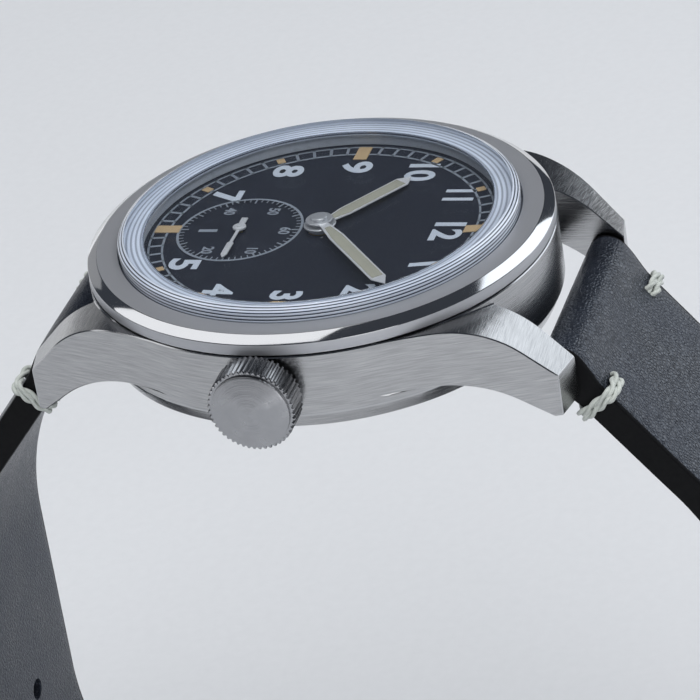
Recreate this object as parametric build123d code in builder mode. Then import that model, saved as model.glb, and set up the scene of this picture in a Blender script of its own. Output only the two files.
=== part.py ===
from build123d import *
import math
import os

os.makedirs("parts", exist_ok=True)

# Round steel wrist watch with a small seconds dial, on a two-piece leather strap.
# Sizes are millimetres and degrees. Z is the dial's normal, X runs to the crown at three
# o'clock and Y to twelve o'clock. The origin is the centre of the case back's flat face.
# The strap is shown unbuckled and still curled as it lies round a wrist.

# Fits shared by the whole watch
running_gap = 0.05
seat_gap = 0.02
cut_overrun = 1.0

# Heights stack up from the case back: back, bridge, train, plate, motion work, dial, case
back_thickness = 0.8
bridge_clearance = 0.4
bridge_thickness = 0.8
train_height = 1.95
plate_thickness = 1.35
motion_work_height = 1.2
dial_thickness = 0.4
dial_sink = 0.15
case_bottom = back_thickness
bridge_bottom = back_thickness + bridge_clearance
bridge_top = bridge_bottom + bridge_thickness
plate_bottom = bridge_top + train_height
plate_top = plate_bottom + plate_thickness
dial_bottom = plate_top + motion_work_height
dial_shelf = dial_bottom + dial_thickness
case_top = dial_shelf + dial_sink

# Middle case, turned section. Its radii step inward from the flank
case_radius = 18.0
bottom_bevel = 0.7
bottom_bevel_height = 1.3
bezel_shoulder = 1.45
neck_height = 0.8
neck_wall = 1.53
dial_shelf_width = 0.82
back_seat_width = 0.85
back_seat_depth = 1.15
back_groove = 0.45
bottom_bevel_radius = case_radius - bottom_bevel
flank_bottom = case_bottom + bottom_bevel_height
neck_radius = case_radius - bezel_shoulder
neck_top = case_top + neck_height
ring_recess_radius = neck_radius - neck_wall
movement_bore_radius = ring_recess_radius - dial_shelf_width
back_seat_radius = movement_bore_radius + back_seat_width
back_seat_top = case_bottom + back_seat_depth
back_groove_radius = back_seat_radius + back_groove

# Lugs: the top runs level, turns down through an arc and ends straight
lug_gap = 18.0
lug_tip_overhang = 3.15
lug_tip_slant = 0.6
lug_side_inset = 0.66
lug_side_lean = 17.0
lug_blend_radius = 25.0
lug_root_inset = 1.2
lug_root_depth = 2.353
lug_edge_inset = 1.6
lug_top_run = 5.4
lug_top_run_step = 0.44
lug_top_radius_inner = 9.0
lug_top_radius_outer = 6.8
lug_top_angle_inner = 46.0
lug_top_angle_outer = 48.2
lug_under_rise = 0.6
lug_under_inset = 6.5
lug_under_radius = 10.0
lug_under_angle = 38.0
lug_drop = 2.0
lug_tip_reach_inner = case_radius + lug_tip_overhang
lug_tip_reach_outer = lug_tip_reach_inner - lug_tip_slant
lug_side_distance = case_radius - lug_side_inset
lug_root_reach = math.sqrt((case_radius - lug_root_depth) ** 2 - (lug_gap / 2) ** 2)
lug_far_half_width = case_radius - lug_edge_inset
lug_top_start_inner = case_radius - lug_top_run
lug_top_start_outer = lug_top_start_inner - lug_top_run_step
lug_under_height = flank_bottom + lug_under_rise
lug_under_start = case_radius - lug_under_inset
lug_lowest = case_bottom - lug_drop
lug_profile_start = case_radius / 3
lug_profile_end = lug_tip_reach_inner + cut_overrun

# Bezel: seam over the case, upright lip, polished bevel and flat top
seam_width = 0.25
bezel_inset = 0.05
bezel_lip_height = 0.76
bezel_bevel_width = 0.77
bezel_bevel_height = 0.48
bezel_radius = case_radius - bezel_inset
seam_height = case_top + seam_width
bezel_lip_top = seam_height + bezel_lip_height
bezel_flat_radius = bezel_radius - bezel_bevel_width
bezel_top = bezel_lip_top + bezel_bevel_height

# Crystal on top of the neck, and the ring round the dial
crystal_overlap = 0.43
crystal_wall = 1.55
crystal_wall_height = 1.35
crystal_bevel_width = 0.55
crystal_bevel_height = 0.4
crystal_dome = 0.3
crystal_dome_steps = 2
crystal_room = 0.6
flange_overlap = 0.35
flange_slope_height = 0.85
flange_lean = 0.1
gasket_width = 0.8
crystal_radius = ring_recess_radius + crystal_overlap
crystal_inner_radius = crystal_radius - crystal_wall
crystal_foot = neck_top + running_gap
crystal_wall_top = crystal_foot + crystal_wall_height
crystal_shoulder_radius = crystal_radius - crystal_bevel_width
crystal_shoulder_top = crystal_wall_top + crystal_bevel_height
crystal_apex = crystal_shoulder_top + crystal_dome
crystal_underside = crystal_foot + crystal_room
flange_inner_radius = movement_bore_radius - flange_overlap
flange_top_radius = flange_inner_radius + flange_lean
flange_top = dial_shelf + flange_slope_height

# Case back: flat face, bevelled rim and a ring that enters the case
back_rim_inset = 0.4
back_bevel = 1.0
back_ring_width = 1.1
back_ring_height = 1.1
back_rim_radius = bottom_bevel_radius - back_rim_inset
back_flat_radius = back_rim_radius - back_bevel
back_ring_radius = back_seat_radius - running_gap
back_ring_inner = back_ring_radius - back_ring_width
back_ring_top = case_bottom + back_ring_height

# Train of wheels. Pitch radii come from tooth counts and modules, largest first
holder_wall = 1.45
holder_drop = 0.75
plate_side_gap = 0.2
bridge_side_gap = 0.1
barrel_edge_gap = 1.32
barrel_teeth = 80
centre_pinion_teeth = 12
centre_wheel_teeth = 80
third_pinion_teeth = 10
third_wheel_teeth = 75
fourth_pinion_teeth = 10
fourth_wheel_teeth = 80
escape_pinion_teeth = 8
escape_teeth = 15
centre_module_share = 0.731
third_module_share = 0.636
fourth_module_share = 0.5
escape_module_share = 1.95
holder_radius = movement_bore_radius - running_gap
holder_inner_radius = holder_radius - holder_wall
holder_bottom = plate_bottom - holder_drop
plate_radius = holder_inner_radius - plate_side_gap
bridge_radius = plate_radius - bridge_side_gap
barrel_module = (plate_radius - barrel_edge_gap) / (barrel_teeth + centre_pinion_teeth / 2)
centre_module = barrel_module * centre_module_share
third_module = barrel_module * third_module_share
fourth_module = barrel_module * fourth_module_share
barrel_radius = barrel_teeth * barrel_module / 2
centre_pinion_radius = centre_pinion_teeth * barrel_module / 2
centre_wheel_radius = centre_wheel_teeth * centre_module / 2
third_pinion_radius = third_pinion_teeth * centre_module / 2
third_wheel_radius = third_wheel_teeth * third_module / 2
fourth_pinion_radius = fourth_pinion_teeth * third_module / 2
fourth_wheel_radius = fourth_wheel_teeth * fourth_module / 2
escape_pinion_radius = escape_pinion_teeth * fourth_module / 2
escape_wheel_radius = escape_teeth * barrel_module * escape_module_share / 2


# A place at a distance and bearing from another place
def beside(place, distance, bearing):
    turn = math.radians(bearing)
    return (place[0] + distance * math.cos(turn), place[1] + distance * math.sin(turn))


# Places of the arbors. The fourth wheel stands on the line from the hands to six o'clock
barrel_bearing = 120.0
third_bearing = 240.0
escape_bearing = -33.0
cock_bearing = -43.96
balance_bearing = 108.4
cock_edge_gap = 0.03
balance_clearance = 0.127
pallet_clearance = 0.71
balance_radius = 3.5
cock_pillar_radius = 0.8
centre_distance = centre_wheel_radius + third_pinion_radius
third_distance = third_wheel_radius + fourth_pinion_radius
barrel_place = beside((0, 0), barrel_radius + centre_pinion_radius, barrel_bearing)
third_place = beside((0, 0), centre_distance, third_bearing)
seconds_offset = math.sqrt(third_distance**2 - third_place[0] ** 2) - third_place[1]
fourth_place = (0, -seconds_offset)
escape_place = beside(fourth_place, fourth_wheel_radius + escape_pinion_radius, escape_bearing)
cock_place = beside((0, 0), plate_radius - cock_pillar_radius - cock_edge_gap, cock_bearing)
balance_distance = balance_radius + cock_pillar_radius + balance_clearance
balance_place = beside(cock_place, balance_distance, balance_bearing)
fork_reach = (balance_place[0] - escape_place[0], balance_place[1] - escape_place[1])
fork_turn = math.degrees(math.atan2(fork_reach[1], fork_reach[0]))
pallet_place = beside(escape_place, escape_wheel_radius + pallet_clearance, fork_turn)
pillar_radius = 1.1
pillar_inset = 2.0
pillar_bearings = (51.0, 192.0, 233.0)
pillar_places = [beside((0, 0), plate_radius - pillar_inset, bearing) for bearing in pillar_bearings]

# Wheels, arbors and their levels between the bridge and the plate
wheel_thickness = 0.2
mesh_gap = 0.04
pivot_radius = 0.15
pivot_depth = 0.3
arbor_radius = 0.25
screw_head_height = 0.25
screw_head_radius = 0.9
centre_wheel_lift = 0.2
fourth_wheel_lift = 0.6
third_wheel_drop = 0.65
barrel_head_gap = 0.25
barrel_arbor_radius = 0.6
centre_arbor_radius = 0.3
fourth_arbor_radius = 0.2
staff_bottom = bridge_top - pivot_depth
centre_wheel_bottom = bridge_top + centre_wheel_lift
fourth_wheel_bottom = bridge_top + fourth_wheel_lift
third_wheel_bottom = plate_bottom - third_wheel_drop
escape_wheel_bottom = third_wheel_bottom
barrel_bottom = fourth_wheel_bottom
barrel_top = plate_bottom - barrel_head_gap
escape_tooth_shares = ((0, 1), (0.15, 0.8), (0.85, 0.8))
pallet_arm_reach = 1.5
pallet_arm_width = 0.4
pallet_stone_reach = 0.75
balance_rim_width = 0.45
balance_lift = 0.5
balance_thickness = 0.3
balance_arm_width = 0.5
balance_roller_radius = 0.45
balance_bottom = bridge_top + balance_lift
balance_top = balance_bottom + balance_thickness
fork_clearance = 0.3
cock_width = 1.6
balance_window_margin = 1.0
bridge_cut_left_gap = 2.1
bridge_cut_top_gap = 4.7
bridge_cut_left = escape_place[0] + bridge_cut_left_gap
bridge_cut_top = balance_place[1] + bridge_cut_top_gap

# Hands stack above the dial: small seconds, hour, minute
hour_angle = 305.0
minute_angle = 51.5
seconds_angle = 90.0
hand_thickness = 0.16
seconds_hand_thickness = 0.12
seconds_hand_lift = 0.13
hour_hand_lift = 0.4
minute_hand_lift = 0.22
minute_hand_edge_gap = 1.25
hour_hand_step = 3.4
hour_hand_width = 1.35
minute_hand_width = 1.2
hand_neck_width = 0.8
hand_neck_share = 0.1
hand_widest_share = 0.27
hand_point_share = 0.9
seconds_hand_bottom = dial_shelf + seconds_hand_lift
hour_hand_bottom = dial_shelf + hour_hand_lift
minute_hand_bottom = hour_hand_bottom + hand_thickness + minute_hand_lift
minute_hand_length = flange_inner_radius - minute_hand_edge_gap
hour_hand_length = minute_hand_length - hour_hand_step

# Motion work between plate and dial, and the pipes that carry the hands
motion_distance = 4.6
cannon_teeth = 12
minute_wheel_teeth = 36
minute_pinion_teeth = 10
hour_wheel_teeth = 40
minute_wheel_bearing = 60.0
motion_work_lift = 0.15
cannon_pinion_height = 0.5
minute_pinion_rise = 0.25
minute_post_radius = 0.3
friction_gap = 0.04
cannon_wall = 0.28
cannon_cap = 0.27
hour_pipe_wall = 0.28
hour_hub_margin = 0.3
minute_hub_margin = 0.43
centre_arbor_drop = 0.08
cannon_pinion_radius = motion_distance * cannon_teeth / (cannon_teeth + minute_wheel_teeth)
minute_wheel_radius = motion_distance - cannon_pinion_radius
minute_pinion_radius = motion_distance * minute_pinion_teeth / (minute_pinion_teeth + hour_wheel_teeth)
hour_wheel_radius = motion_distance - minute_pinion_radius
minute_wheel_place = beside((0, 0), motion_distance, minute_wheel_bearing)
cannon_bottom = plate_top + motion_work_lift
cannon_pinion_top = cannon_bottom + cannon_pinion_height
hour_wheel_bottom = cannon_pinion_top + running_gap
minute_pinion_top = hour_wheel_bottom + minute_pinion_rise
cannon_bore_radius = centre_arbor_radius + friction_gap
cannon_pipe_radius = cannon_bore_radius + cannon_wall
cannon_top = minute_hand_bottom + cannon_cap
centre_arbor_top = minute_hand_bottom - centre_arbor_drop
hour_pipe_bore = cannon_pipe_radius + running_gap
hour_pipe_radius = hour_pipe_bore + hour_pipe_wall
hour_pipe_top = hour_hand_bottom + hand_thickness
hour_hub_radius = hour_pipe_radius + hour_hub_margin
minute_hub_radius = cannon_pipe_radius + minute_hub_margin

# Dial, and its sunk seconds dial over the fourth wheel's arbor
dial_side_gap = 0.1
seconds_dial_land = 0.54
seconds_dial_depth = 0.1
seconds_dial_margin = 0.25
seconds_hole = 0.4
seconds_hub_radius = 0.32
seconds_hand_tail = 1.5
seconds_hand_width = 0.5
seconds_hand_tail_blade = 0.8
fourth_arbor_rise = 0.07
dial_radius = movement_bore_radius - dial_side_gap
dial_centre_hole = hour_pipe_radius + running_gap
seconds_dial_radius = seconds_offset - dial_centre_hole - seconds_dial_land
seconds_hand_length = seconds_dial_radius - seconds_dial_margin
fourth_arbor_top = seconds_hand_bottom + fourth_arbor_rise

# Crown, tube, stem and sliding pinion, all on one line at three o'clock
stem_lift = 0.3
stem_radius = 0.5
stem_tail = 1.0
stem_seat = 0.5
sliding_pinion_inset = 3.6
sliding_pinion_length = 2.0
sliding_pinion_radius = 1.1
sliding_slot_margin = 0.4
tube_radius = 1.0
tube_bore_radius = 0.6
tube_inset = 0.4
tube_overhang = 0.9
crown_gap = 0.35
crown_length = 2.4
crown_rim_length = 0.2
crown_cone_height = 0.51
crown_radius = 3.3
crown_root_radius = 3.1
crown_rim_radius = 2.95
crown_edge_break = 0.12
crown_teeth = 48
crown_cavity_radius = 1.9
crown_cavity_depth = 1.65
crown_seal_inset = 0.15
crown_seal_length = 0.35
stem_height = plate_bottom + stem_lift
sliding_pinion_start = plate_radius - sliding_pinion_inset
sliding_pinion_end = sliding_pinion_start + sliding_pinion_length
tube_start = movement_bore_radius + tube_inset
tube_end = case_radius + tube_overhang
crown_start = case_radius + crown_gap
crown_knurl_end = crown_start + crown_length
crown_rim_end = crown_knurl_end + crown_rim_length
crown_tip = crown_rim_end + crown_cone_height
crown_cavity_end = crown_start + crown_cavity_depth
crown_seal_start = crown_start + crown_seal_inset
crown_seal_end = crown_seal_start + crown_seal_length
stem_start = sliding_pinion_start - stem_tail
stem_end = crown_cavity_end + stem_seat

# Spring bars near the lug tips
bar_inset = 1.15
bar_lift = 2.0
bar_radius = 0.75
bar_tip_radius = 0.4
bar_tip_length = 0.9
bar_body_end_gap = 0.1
bar_reach = lug_tip_reach_inner - bar_inset
bar_height = lug_lowest + bar_lift
bar_half_length = lug_gap / 2 - bar_body_end_gap

# Strap: leather path in the YZ plane, width and thickness
strap_side_gap = 0.2
strap_taper_width = 0.9
taper_start = -8.0
taper_end = -50.0
strap_thickness = 2.6
strap_end_thickness = 2.2
strap_roll_wall = 1.05
strap_fall_angle = 51.0
strap_fall_length = 13.0
strap_upper_bend = 22.0
strap_lower_bend = 24.0
short_length = 64.0
short_end_turn = 48.0
long_length = 105.0
tail_corner_radius = 5.0
strap_hole_radius = 0.9
strap_hole_count = 7
strap_hole_pitch = 6.5
strap_first_hole = 25.0
strap_drop_length = short_length - short_end_turn
strap_half_width = lug_gap / 2 - strap_side_gap
strap_end_half_width = strap_half_width - strap_taper_width
strap_roll_radius = bar_radius + strap_roll_wall

# Bar stitches beside the lugs
stitch_station = 3.7
stitch_span = 2.7
stitch_thickness = 0.7
stitch_width = 0.86
stitch_gap = 0.05
stitch_corner = 0.5
stitch_hole_margin = 0.08
stitch_inner_x = strap_half_width - stitch_span

# Keepers and buckle
keeper_width = 5.0
keeper_wall = 0.9
keeper_side_gap = 0.3
keeper_under_gap = 0.25
keeper_room = 2.3
keeper_inset = 10.0
keeper_spacing = 13.0
fixed_keeper_station = short_length - keeper_inset
free_keeper_station = fixed_keeper_station - keeper_spacing
buckle_bar_radius = 0.75
buckle_bar_tip_radius = 0.5
buckle_roll_wall = 0.85
buckle_side_room = 0.4
buckle_side_width = 1.7
buckle_reach = 10.5
buckle_bar_depth = 1.6
buckle_heel = 1.4
buckle_thickness = 1.8
buckle_corner_radius = 1.0
tongue_half_width = 0.8
tongue_ring_wall = 0.55
tongue_thickness = 0.8
tongue_overhang = 0.4
tongue_slot_gap = 0.4
tongue_slot_depth = 3.2
buckle_roll_radius = buckle_bar_radius + buckle_roll_wall
buckle_inner_half_width = strap_end_half_width + buckle_side_room
buckle_half_width = buckle_inner_half_width + buckle_side_width
tongue_ring_radius = buckle_bar_radius + tongue_ring_wall
tongue_slot_half_width = tongue_half_width + tongue_slot_gap

UP = (Align.CENTER, Align.CENTER, Align.MIN)


# A closed outline of radius and height pairs, turned about the dial axis
def turned(places, mode=Mode.ADD):
    with BuildSketch(Plane.XZ, mode=Mode.PRIVATE) as outline:
        with BuildLine():
            Polyline(*places, close=True)
        make_face()
    revolve(outline.sketch, axis=Axis.Z, mode=mode)


# A round boss or hole standing between two heights
def disc(radius, bottom, top, place=(0, 0), mode=Mode.ADD):
    with Locations((place[0], place[1], bottom)):
        Cylinder(radius, top - bottom, align=UP, mode=mode)


# A round boss or hole on the crown's line, between two distances from the dial axis
def crown_line_disc(radius, start, end, mode=Mode.ADD):
    with Locations(Location((start, 0, stem_height), (0, 90, 0))):
        Cylinder(radius, end - start, align=UP, mode=mode)


# A point on the strap's middle line: distance outward, height, and heading below level
def strap_place(station):
    fall = math.radians(strap_fall_angle)
    fall_reach = bar_reach + strap_fall_length * math.cos(fall)
    fall_end = (fall_reach, bar_height - strap_fall_length * math.sin(fall))
    upper_length = strap_upper_bend * (math.pi / 2 - fall)
    upper_reach = fall_end[0] - strap_upper_bend * math.sin(fall)
    upper_centre = (upper_reach, fall_end[1] - strap_upper_bend * math.cos(fall))
    drop_start = (upper_centre[0] + strap_upper_bend, upper_centre[1])
    lower_centre = (drop_start[0] - strap_lower_bend, drop_start[1] - strap_drop_length)
    lower_length = strap_lower_bend * math.pi / 2
    if station <= strap_fall_length:
        left = strap_fall_length - station
        return (fall_end[0] - left * math.cos(fall), fall_end[1] + left * math.sin(fall), fall)
    station = station - strap_fall_length
    if station <= upper_length:
        turn = fall + station / strap_upper_bend
        reach = upper_centre[0] + strap_upper_bend * math.sin(turn)
        return (reach, upper_centre[1] + strap_upper_bend * math.cos(turn), turn)
    station = station - upper_length
    if station <= strap_drop_length:
        return (drop_start[0], drop_start[1] - station, math.pi / 2)
    station = station - strap_drop_length
    turn = math.pi / 2 + min(station, lower_length) / strap_lower_bend
    reach = lower_centre[0] + strap_lower_bend * math.sin(turn)
    level = lower_centre[1] + strap_lower_bend * math.cos(turn)
    return (reach - max(station - lower_length, 0), level, turn)


# The same point moved square to the leather, outward from the wrist when the offset is positive
def strap_point(station, offset, side):
    reach, level, heading = strap_place(station)
    return (side * (reach + offset * math.sin(heading)), level + offset * math.cos(heading))


# The plane square across the strap at a station, with X across the width
def strap_plane(station, side):
    reach, level, heading = strap_place(station)
    along = (0, side * math.cos(heading), -math.sin(heading))
    return Plane(origin=(0, side * reach, level), x_dir=(1, 0, 0), z_dir=along)


# The leather's side view, from the bar to the far end
def strap_side_face(length, side):
    fall = math.radians(strap_fall_angle)
    ends = [0, strap_fall_length]
    ends.append(ends[1] + strap_upper_bend * (math.pi / 2 - fall))
    ends.append(ends[2] + strap_drop_length)
    ends.append(ends[3] + strap_lower_bend * math.pi / 2)
    stations = [station for station in ends if station < length] + [length]
    with BuildSketch(Plane.YZ, mode=Mode.PRIVATE) as outline:
        with BuildLine():
            for sign in (1, -1):
                for first, last in zip(stations, stations[1:]):
                    places = []
                    for station in (first, (first + last) / 2, last):
                        share = station / length
                        half = (strap_thickness + share * (strap_end_thickness - strap_thickness)) / 2
                        places.append(strap_point(station, sign * half, side))
                    if strap_place(first)[2] == strap_place(last)[2]:
                        Line(places[0], places[2])
                    else:
                        ThreePointArc(places[0], places[1], places[2])
            Line(strap_point(0, strap_thickness / 2, side), strap_point(0, -strap_thickness / 2, side))
            far_half = strap_end_thickness / 2
            Line(strap_point(length, far_half, side), strap_point(length, -far_half, side))
        make_face()
    return outline.sketch


# The front view that narrows the leather from the lugs down
def strap_taper():
    top = case_top
    low = -strap_lower_bend * 4
    places = [(strap_half_width, top), (strap_half_width, taper_start), (strap_end_half_width, taper_end)]
    places.append((strap_end_half_width, low))
    mirrored = [(-x, z) for x, z in reversed(places)]
    with BuildSketch(Plane.XZ, mode=Mode.PRIVATE) as outline:
        with BuildLine():
            Polyline(*places, *mirrored, close=True)
        make_face()
    extrude(outline.sketch, amount=2 * case_radius + strap_lower_bend, both=True, mode=Mode.INTERSECT)


# Lug side view: height of the top after its level start, arc and straight end
def lug_side_wire(start, radius, angle, plane):
    turn = math.radians(angle)
    arc_end = (start + radius * math.sin(turn), case_top - radius * (1 - math.cos(turn)))
    arc_mid = (start + radius * math.sin(turn / 2), case_top - radius * (1 - math.cos(turn / 2)))
    straight = lug_profile_end - arc_end[0]
    top_end = (lug_profile_end, arc_end[1] - straight * math.tan(turn))
    low = 3 * lug_lowest - lug_profile_end
    with BuildSketch(plane, mode=Mode.PRIVATE) as outline:
        with BuildLine():
            Line((lug_profile_start, case_top), (start, case_top))
            ThreePointArc((start, case_top), arc_mid, arc_end)
            Line(arc_end, top_end)
            Line(top_end, (lug_profile_end, low))
            Line((lug_profile_end, low), (lug_profile_start, low))
            Line((lug_profile_start, low), (lug_profile_start, case_top))
        make_face()
    return outline.sketch


# The space under a lug, cut away square to the side view
def lug_under_face():
    turn = math.radians(lug_under_angle)
    arc_end = (
        lug_under_start + lug_under_radius * math.sin(turn),
        lug_under_height - lug_under_radius * (1 - math.cos(turn)),
    )
    arc_mid = (
        lug_under_start + lug_under_radius * math.sin(turn / 2),
        lug_under_height - lug_under_radius * (1 - math.cos(turn / 2)),
    )
    reach = arc_end[0] + (arc_end[1] - lug_lowest) / math.tan(turn)
    low = 3 * lug_lowest - lug_profile_end
    with BuildSketch(Plane.YZ, mode=Mode.PRIVATE) as outline:
        with BuildLine():
            Line((0, lug_under_height), (lug_under_start, lug_under_height))
            ThreePointArc((lug_under_start, lug_under_height), arc_mid, arc_end)
            Line(arc_end, (reach, lug_lowest))
            Line((reach, lug_lowest), (lug_profile_end, lug_lowest))
            Line((lug_profile_end, lug_lowest), (lug_profile_end, low))
            Line((lug_profile_end, low), (0, low))
            Line((0, low), (0, lug_under_height))
        make_face()
    return outline.sketch


# Lug seen from above: straight side, blended into the round case by a hollow arc
def lug_plan_face():
    lean = math.radians(lug_side_lean)
    normal = (math.cos(lean), math.sin(lean))
    tangent = (-math.sin(lean), math.cos(lean))
    reach = lug_side_distance + lug_blend_radius
    slide = math.sqrt((case_radius + lug_blend_radius) ** 2 - reach**2)
    centre = (reach * normal[0] + slide * tangent[0], reach * normal[1] + slide * tangent[1])
    on_line = (centre[0] - lug_blend_radius * normal[0], centre[1] - lug_blend_radius * normal[1])
    shrink = case_radius / (case_radius + lug_blend_radius)
    on_case = (centre[0] * shrink, centre[1] * shrink)
    aim = (on_line[0] + on_case[0] - 2 * centre[0], on_line[1] + on_case[1] - 2 * centre[1])
    scale = lug_blend_radius / math.hypot(aim[0], aim[1])
    middle = (centre[0] + aim[0] * scale, centre[1] + aim[1] * scale)
    root_share = (case_radius - lug_root_inset) / case_radius
    root = (on_case[0] * root_share, on_case[1] * root_share)
    tip_half_width = (lug_side_distance - lug_tip_reach_outer * normal[1]) / normal[0]
    tip_outer = (tip_half_width, lug_tip_reach_outer)
    tip_inner = (lug_gap / 2, lug_tip_reach_inner)
    with BuildSketch(Plane.XY, mode=Mode.PRIVATE) as outline:
        with BuildLine():
            ThreePointArc(on_case, middle, on_line)
            Line(on_line, tip_outer)
            Line(tip_outer, tip_inner)
            Line(tip_inner, (lug_gap / 2, lug_root_reach))
            Line((lug_gap / 2, lug_root_reach), root)
            Line(root, on_case)
        make_face()
    return outline.sketch


# One lug, at the crown side towards twelve o'clock
with BuildPart() as lug:
    inner_plane = Plane.YZ.offset(lug_gap / 2)
    outer_plane = Plane.YZ.offset(lug_far_half_width)
    inner_side = lug_side_wire(lug_top_start_inner, lug_top_radius_inner, lug_top_angle_inner, inner_plane)
    outer_side = lug_side_wire(lug_top_start_outer, lug_top_radius_outer, lug_top_angle_outer, outer_plane)
    loft([inner_side, outer_side], ruled=True)
    extrude(lug_plan_face(), amount=2 * lug_profile_end, both=True, mode=Mode.INTERSECT)
    extrude(lug_under_face(), amount=2 * case_radius, both=True, mode=Mode.SUBTRACT)

with BuildPart() as mid_case:
    turned(
        (
            (back_groove_radius, case_bottom),
            (bottom_bevel_radius, case_bottom),
            (case_radius, flank_bottom),
            (case_radius, case_top),
            (neck_radius, case_top),
            (neck_radius, neck_top),
            (ring_recess_radius, neck_top),
            (ring_recess_radius, dial_shelf),
            (movement_bore_radius, dial_shelf),
            (movement_bore_radius, back_seat_top),
            (back_seat_radius, back_seat_top),
            (back_seat_radius, case_bottom + back_groove + seat_gap),
        )
    )
    add(lug.part)
    add(lug.part.mirror(Plane.YZ))
    add(lug.part.mirror(Plane.XZ))
    add(lug.part.mirror(Plane.YZ).mirror(Plane.XZ))
    bar_hole_end = lug_gap / 2 + bar_tip_length + bar_tip_radius / 2
    for side in (1, -1):
        with Locations(Location((-bar_hole_end, side * bar_reach, bar_height), (0, 90, 0))):
            Cylinder(bar_tip_radius + running_gap, 2 * bar_hole_end, align=UP, mode=Mode.SUBTRACT)
    tube_hole_start = movement_bore_radius - cut_overrun
    crown_line_disc(tube_radius + seat_gap, tube_hole_start, case_radius + cut_overrun, Mode.SUBTRACT)
mid_case.part.label = "mid_case"
export_step(mid_case.part, "parts/mid_case.step")

with BuildPart() as bezel:
    turned(
        (
            (bezel_radius, seam_height),
            (bezel_radius, bezel_lip_top),
            (bezel_flat_radius, bezel_top),
            (crystal_radius + running_gap, bezel_top),
            (crystal_radius + running_gap, neck_top + running_gap),
            (neck_radius + running_gap, neck_top + running_gap),
            (neck_radius + running_gap, seam_height),
        )
    )
bezel.part.label = "bezel"
export_step(bezel.part, "parts/bezel.step")



# Raised crystal: upright edge, bevelled shoulder and a low dome laid out as shallow cones
with BuildPart() as crystal:
    dome_radius = (crystal_shoulder_radius**2 + crystal_dome**2) / (2 * crystal_dome)
    dome_places = []
    for step in range(crystal_dome_steps):
        reach = crystal_shoulder_radius * (crystal_dome_steps - step) / crystal_dome_steps
        fall = dome_radius - math.sqrt(dome_radius**2 - reach**2)
        dome_places.append((reach, crystal_apex - fall))
    turned(
        (
            (crystal_inner_radius, crystal_foot),
            (crystal_radius, crystal_foot),
            (crystal_radius, crystal_wall_top),
            *dome_places,
            (0, crystal_apex),
            (0, crystal_underside),
            (crystal_inner_radius, crystal_underside),
        )
    )
crystal.part.label = "crystal"
export_step(crystal.part, "parts/crystal.step")

# Wedge ring squeezed between the crystal's foot, the neck and the ring round the dial
with BuildPart() as crystal_gasket:
    gasket_outer = ring_recess_radius - running_gap
    turned(
        (
            (gasket_outer - gasket_width, crystal_foot),
            (gasket_outer, flange_top),
            (gasket_outer, crystal_foot),
        )
    )
crystal_gasket.part.label = "crystal_gasket"
export_step(crystal_gasket.part, "parts/crystal_gasket.step")

# Polished ring that rises from the dial's edge to the crystal
with BuildPart() as dial_flange:
    turned(
        (
            (flange_inner_radius, dial_shelf),
            (ring_recess_radius - seat_gap, dial_shelf),
            (ring_recess_radius - seat_gap, flange_top),
            (flange_top_radius, flange_top),
        )
    )
dial_flange.part.label = "dial_flange"
export_step(dial_flange.part, "parts/dial_flange.step")

with BuildPart() as case_back:
    turned(
        (
            (0, 0),
            (back_flat_radius, 0),
            (back_rim_radius, case_bottom),
            (back_ring_radius, case_bottom),
            (back_ring_radius, back_ring_top),
            (back_ring_inner, back_ring_top),
            (back_ring_inner, case_bottom),
            (0, case_bottom),
        )
    )
case_back.part.label = "case_back"
export_step(case_back.part, "parts/case_back.step")

# Wedge ring in the bevelled corner between the case back and the case
with BuildPart() as back_gasket:
    turned(
        (
            (back_ring_radius + seat_gap, case_bottom),
            (back_groove_radius - seat_gap, case_bottom),
            (back_ring_radius + seat_gap, case_bottom + back_groove),
        )
    )
back_gasket.part.label = "back_gasket"
export_step(back_gasket.part, "parts/back_gasket.step")

with BuildPart() as crown_tube:
    crown_line_disc(tube_radius, tube_start, tube_end)
    crown_line_disc(tube_bore_radius, tube_start, tube_end, Mode.SUBTRACT)
crown_tube.part.label = "crown_tube"
export_step(crown_tube.part, "parts/crown_tube.step")

with BuildPart() as dial:
    disc(dial_radius, dial_bottom, dial_shelf)
    disc(dial_centre_hole, dial_bottom, dial_shelf, mode=Mode.SUBTRACT)
    disc(seconds_dial_radius, dial_shelf - seconds_dial_depth, dial_shelf, fourth_place, Mode.SUBTRACT)
    disc(seconds_hole, dial_bottom, dial_shelf, fourth_place, Mode.SUBTRACT)
dial.part.label = "dial"
export_step(dial.part, "parts/dial.step")

# Plain ring that holds the movement and carries the dial
with BuildPart() as movement_holder:
    disc(holder_radius, holder_bottom, dial_bottom)
    disc(holder_inner_radius, holder_bottom, dial_bottom, mode=Mode.SUBTRACT)
    stem_way_start = holder_inner_radius - cut_overrun
    crown_line_disc(tube_radius, stem_way_start, holder_radius + cut_overrun, Mode.SUBTRACT)
movement_holder.part.label = "movement_holder"
export_step(movement_holder.part, "parts/movement_holder.step")

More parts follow.
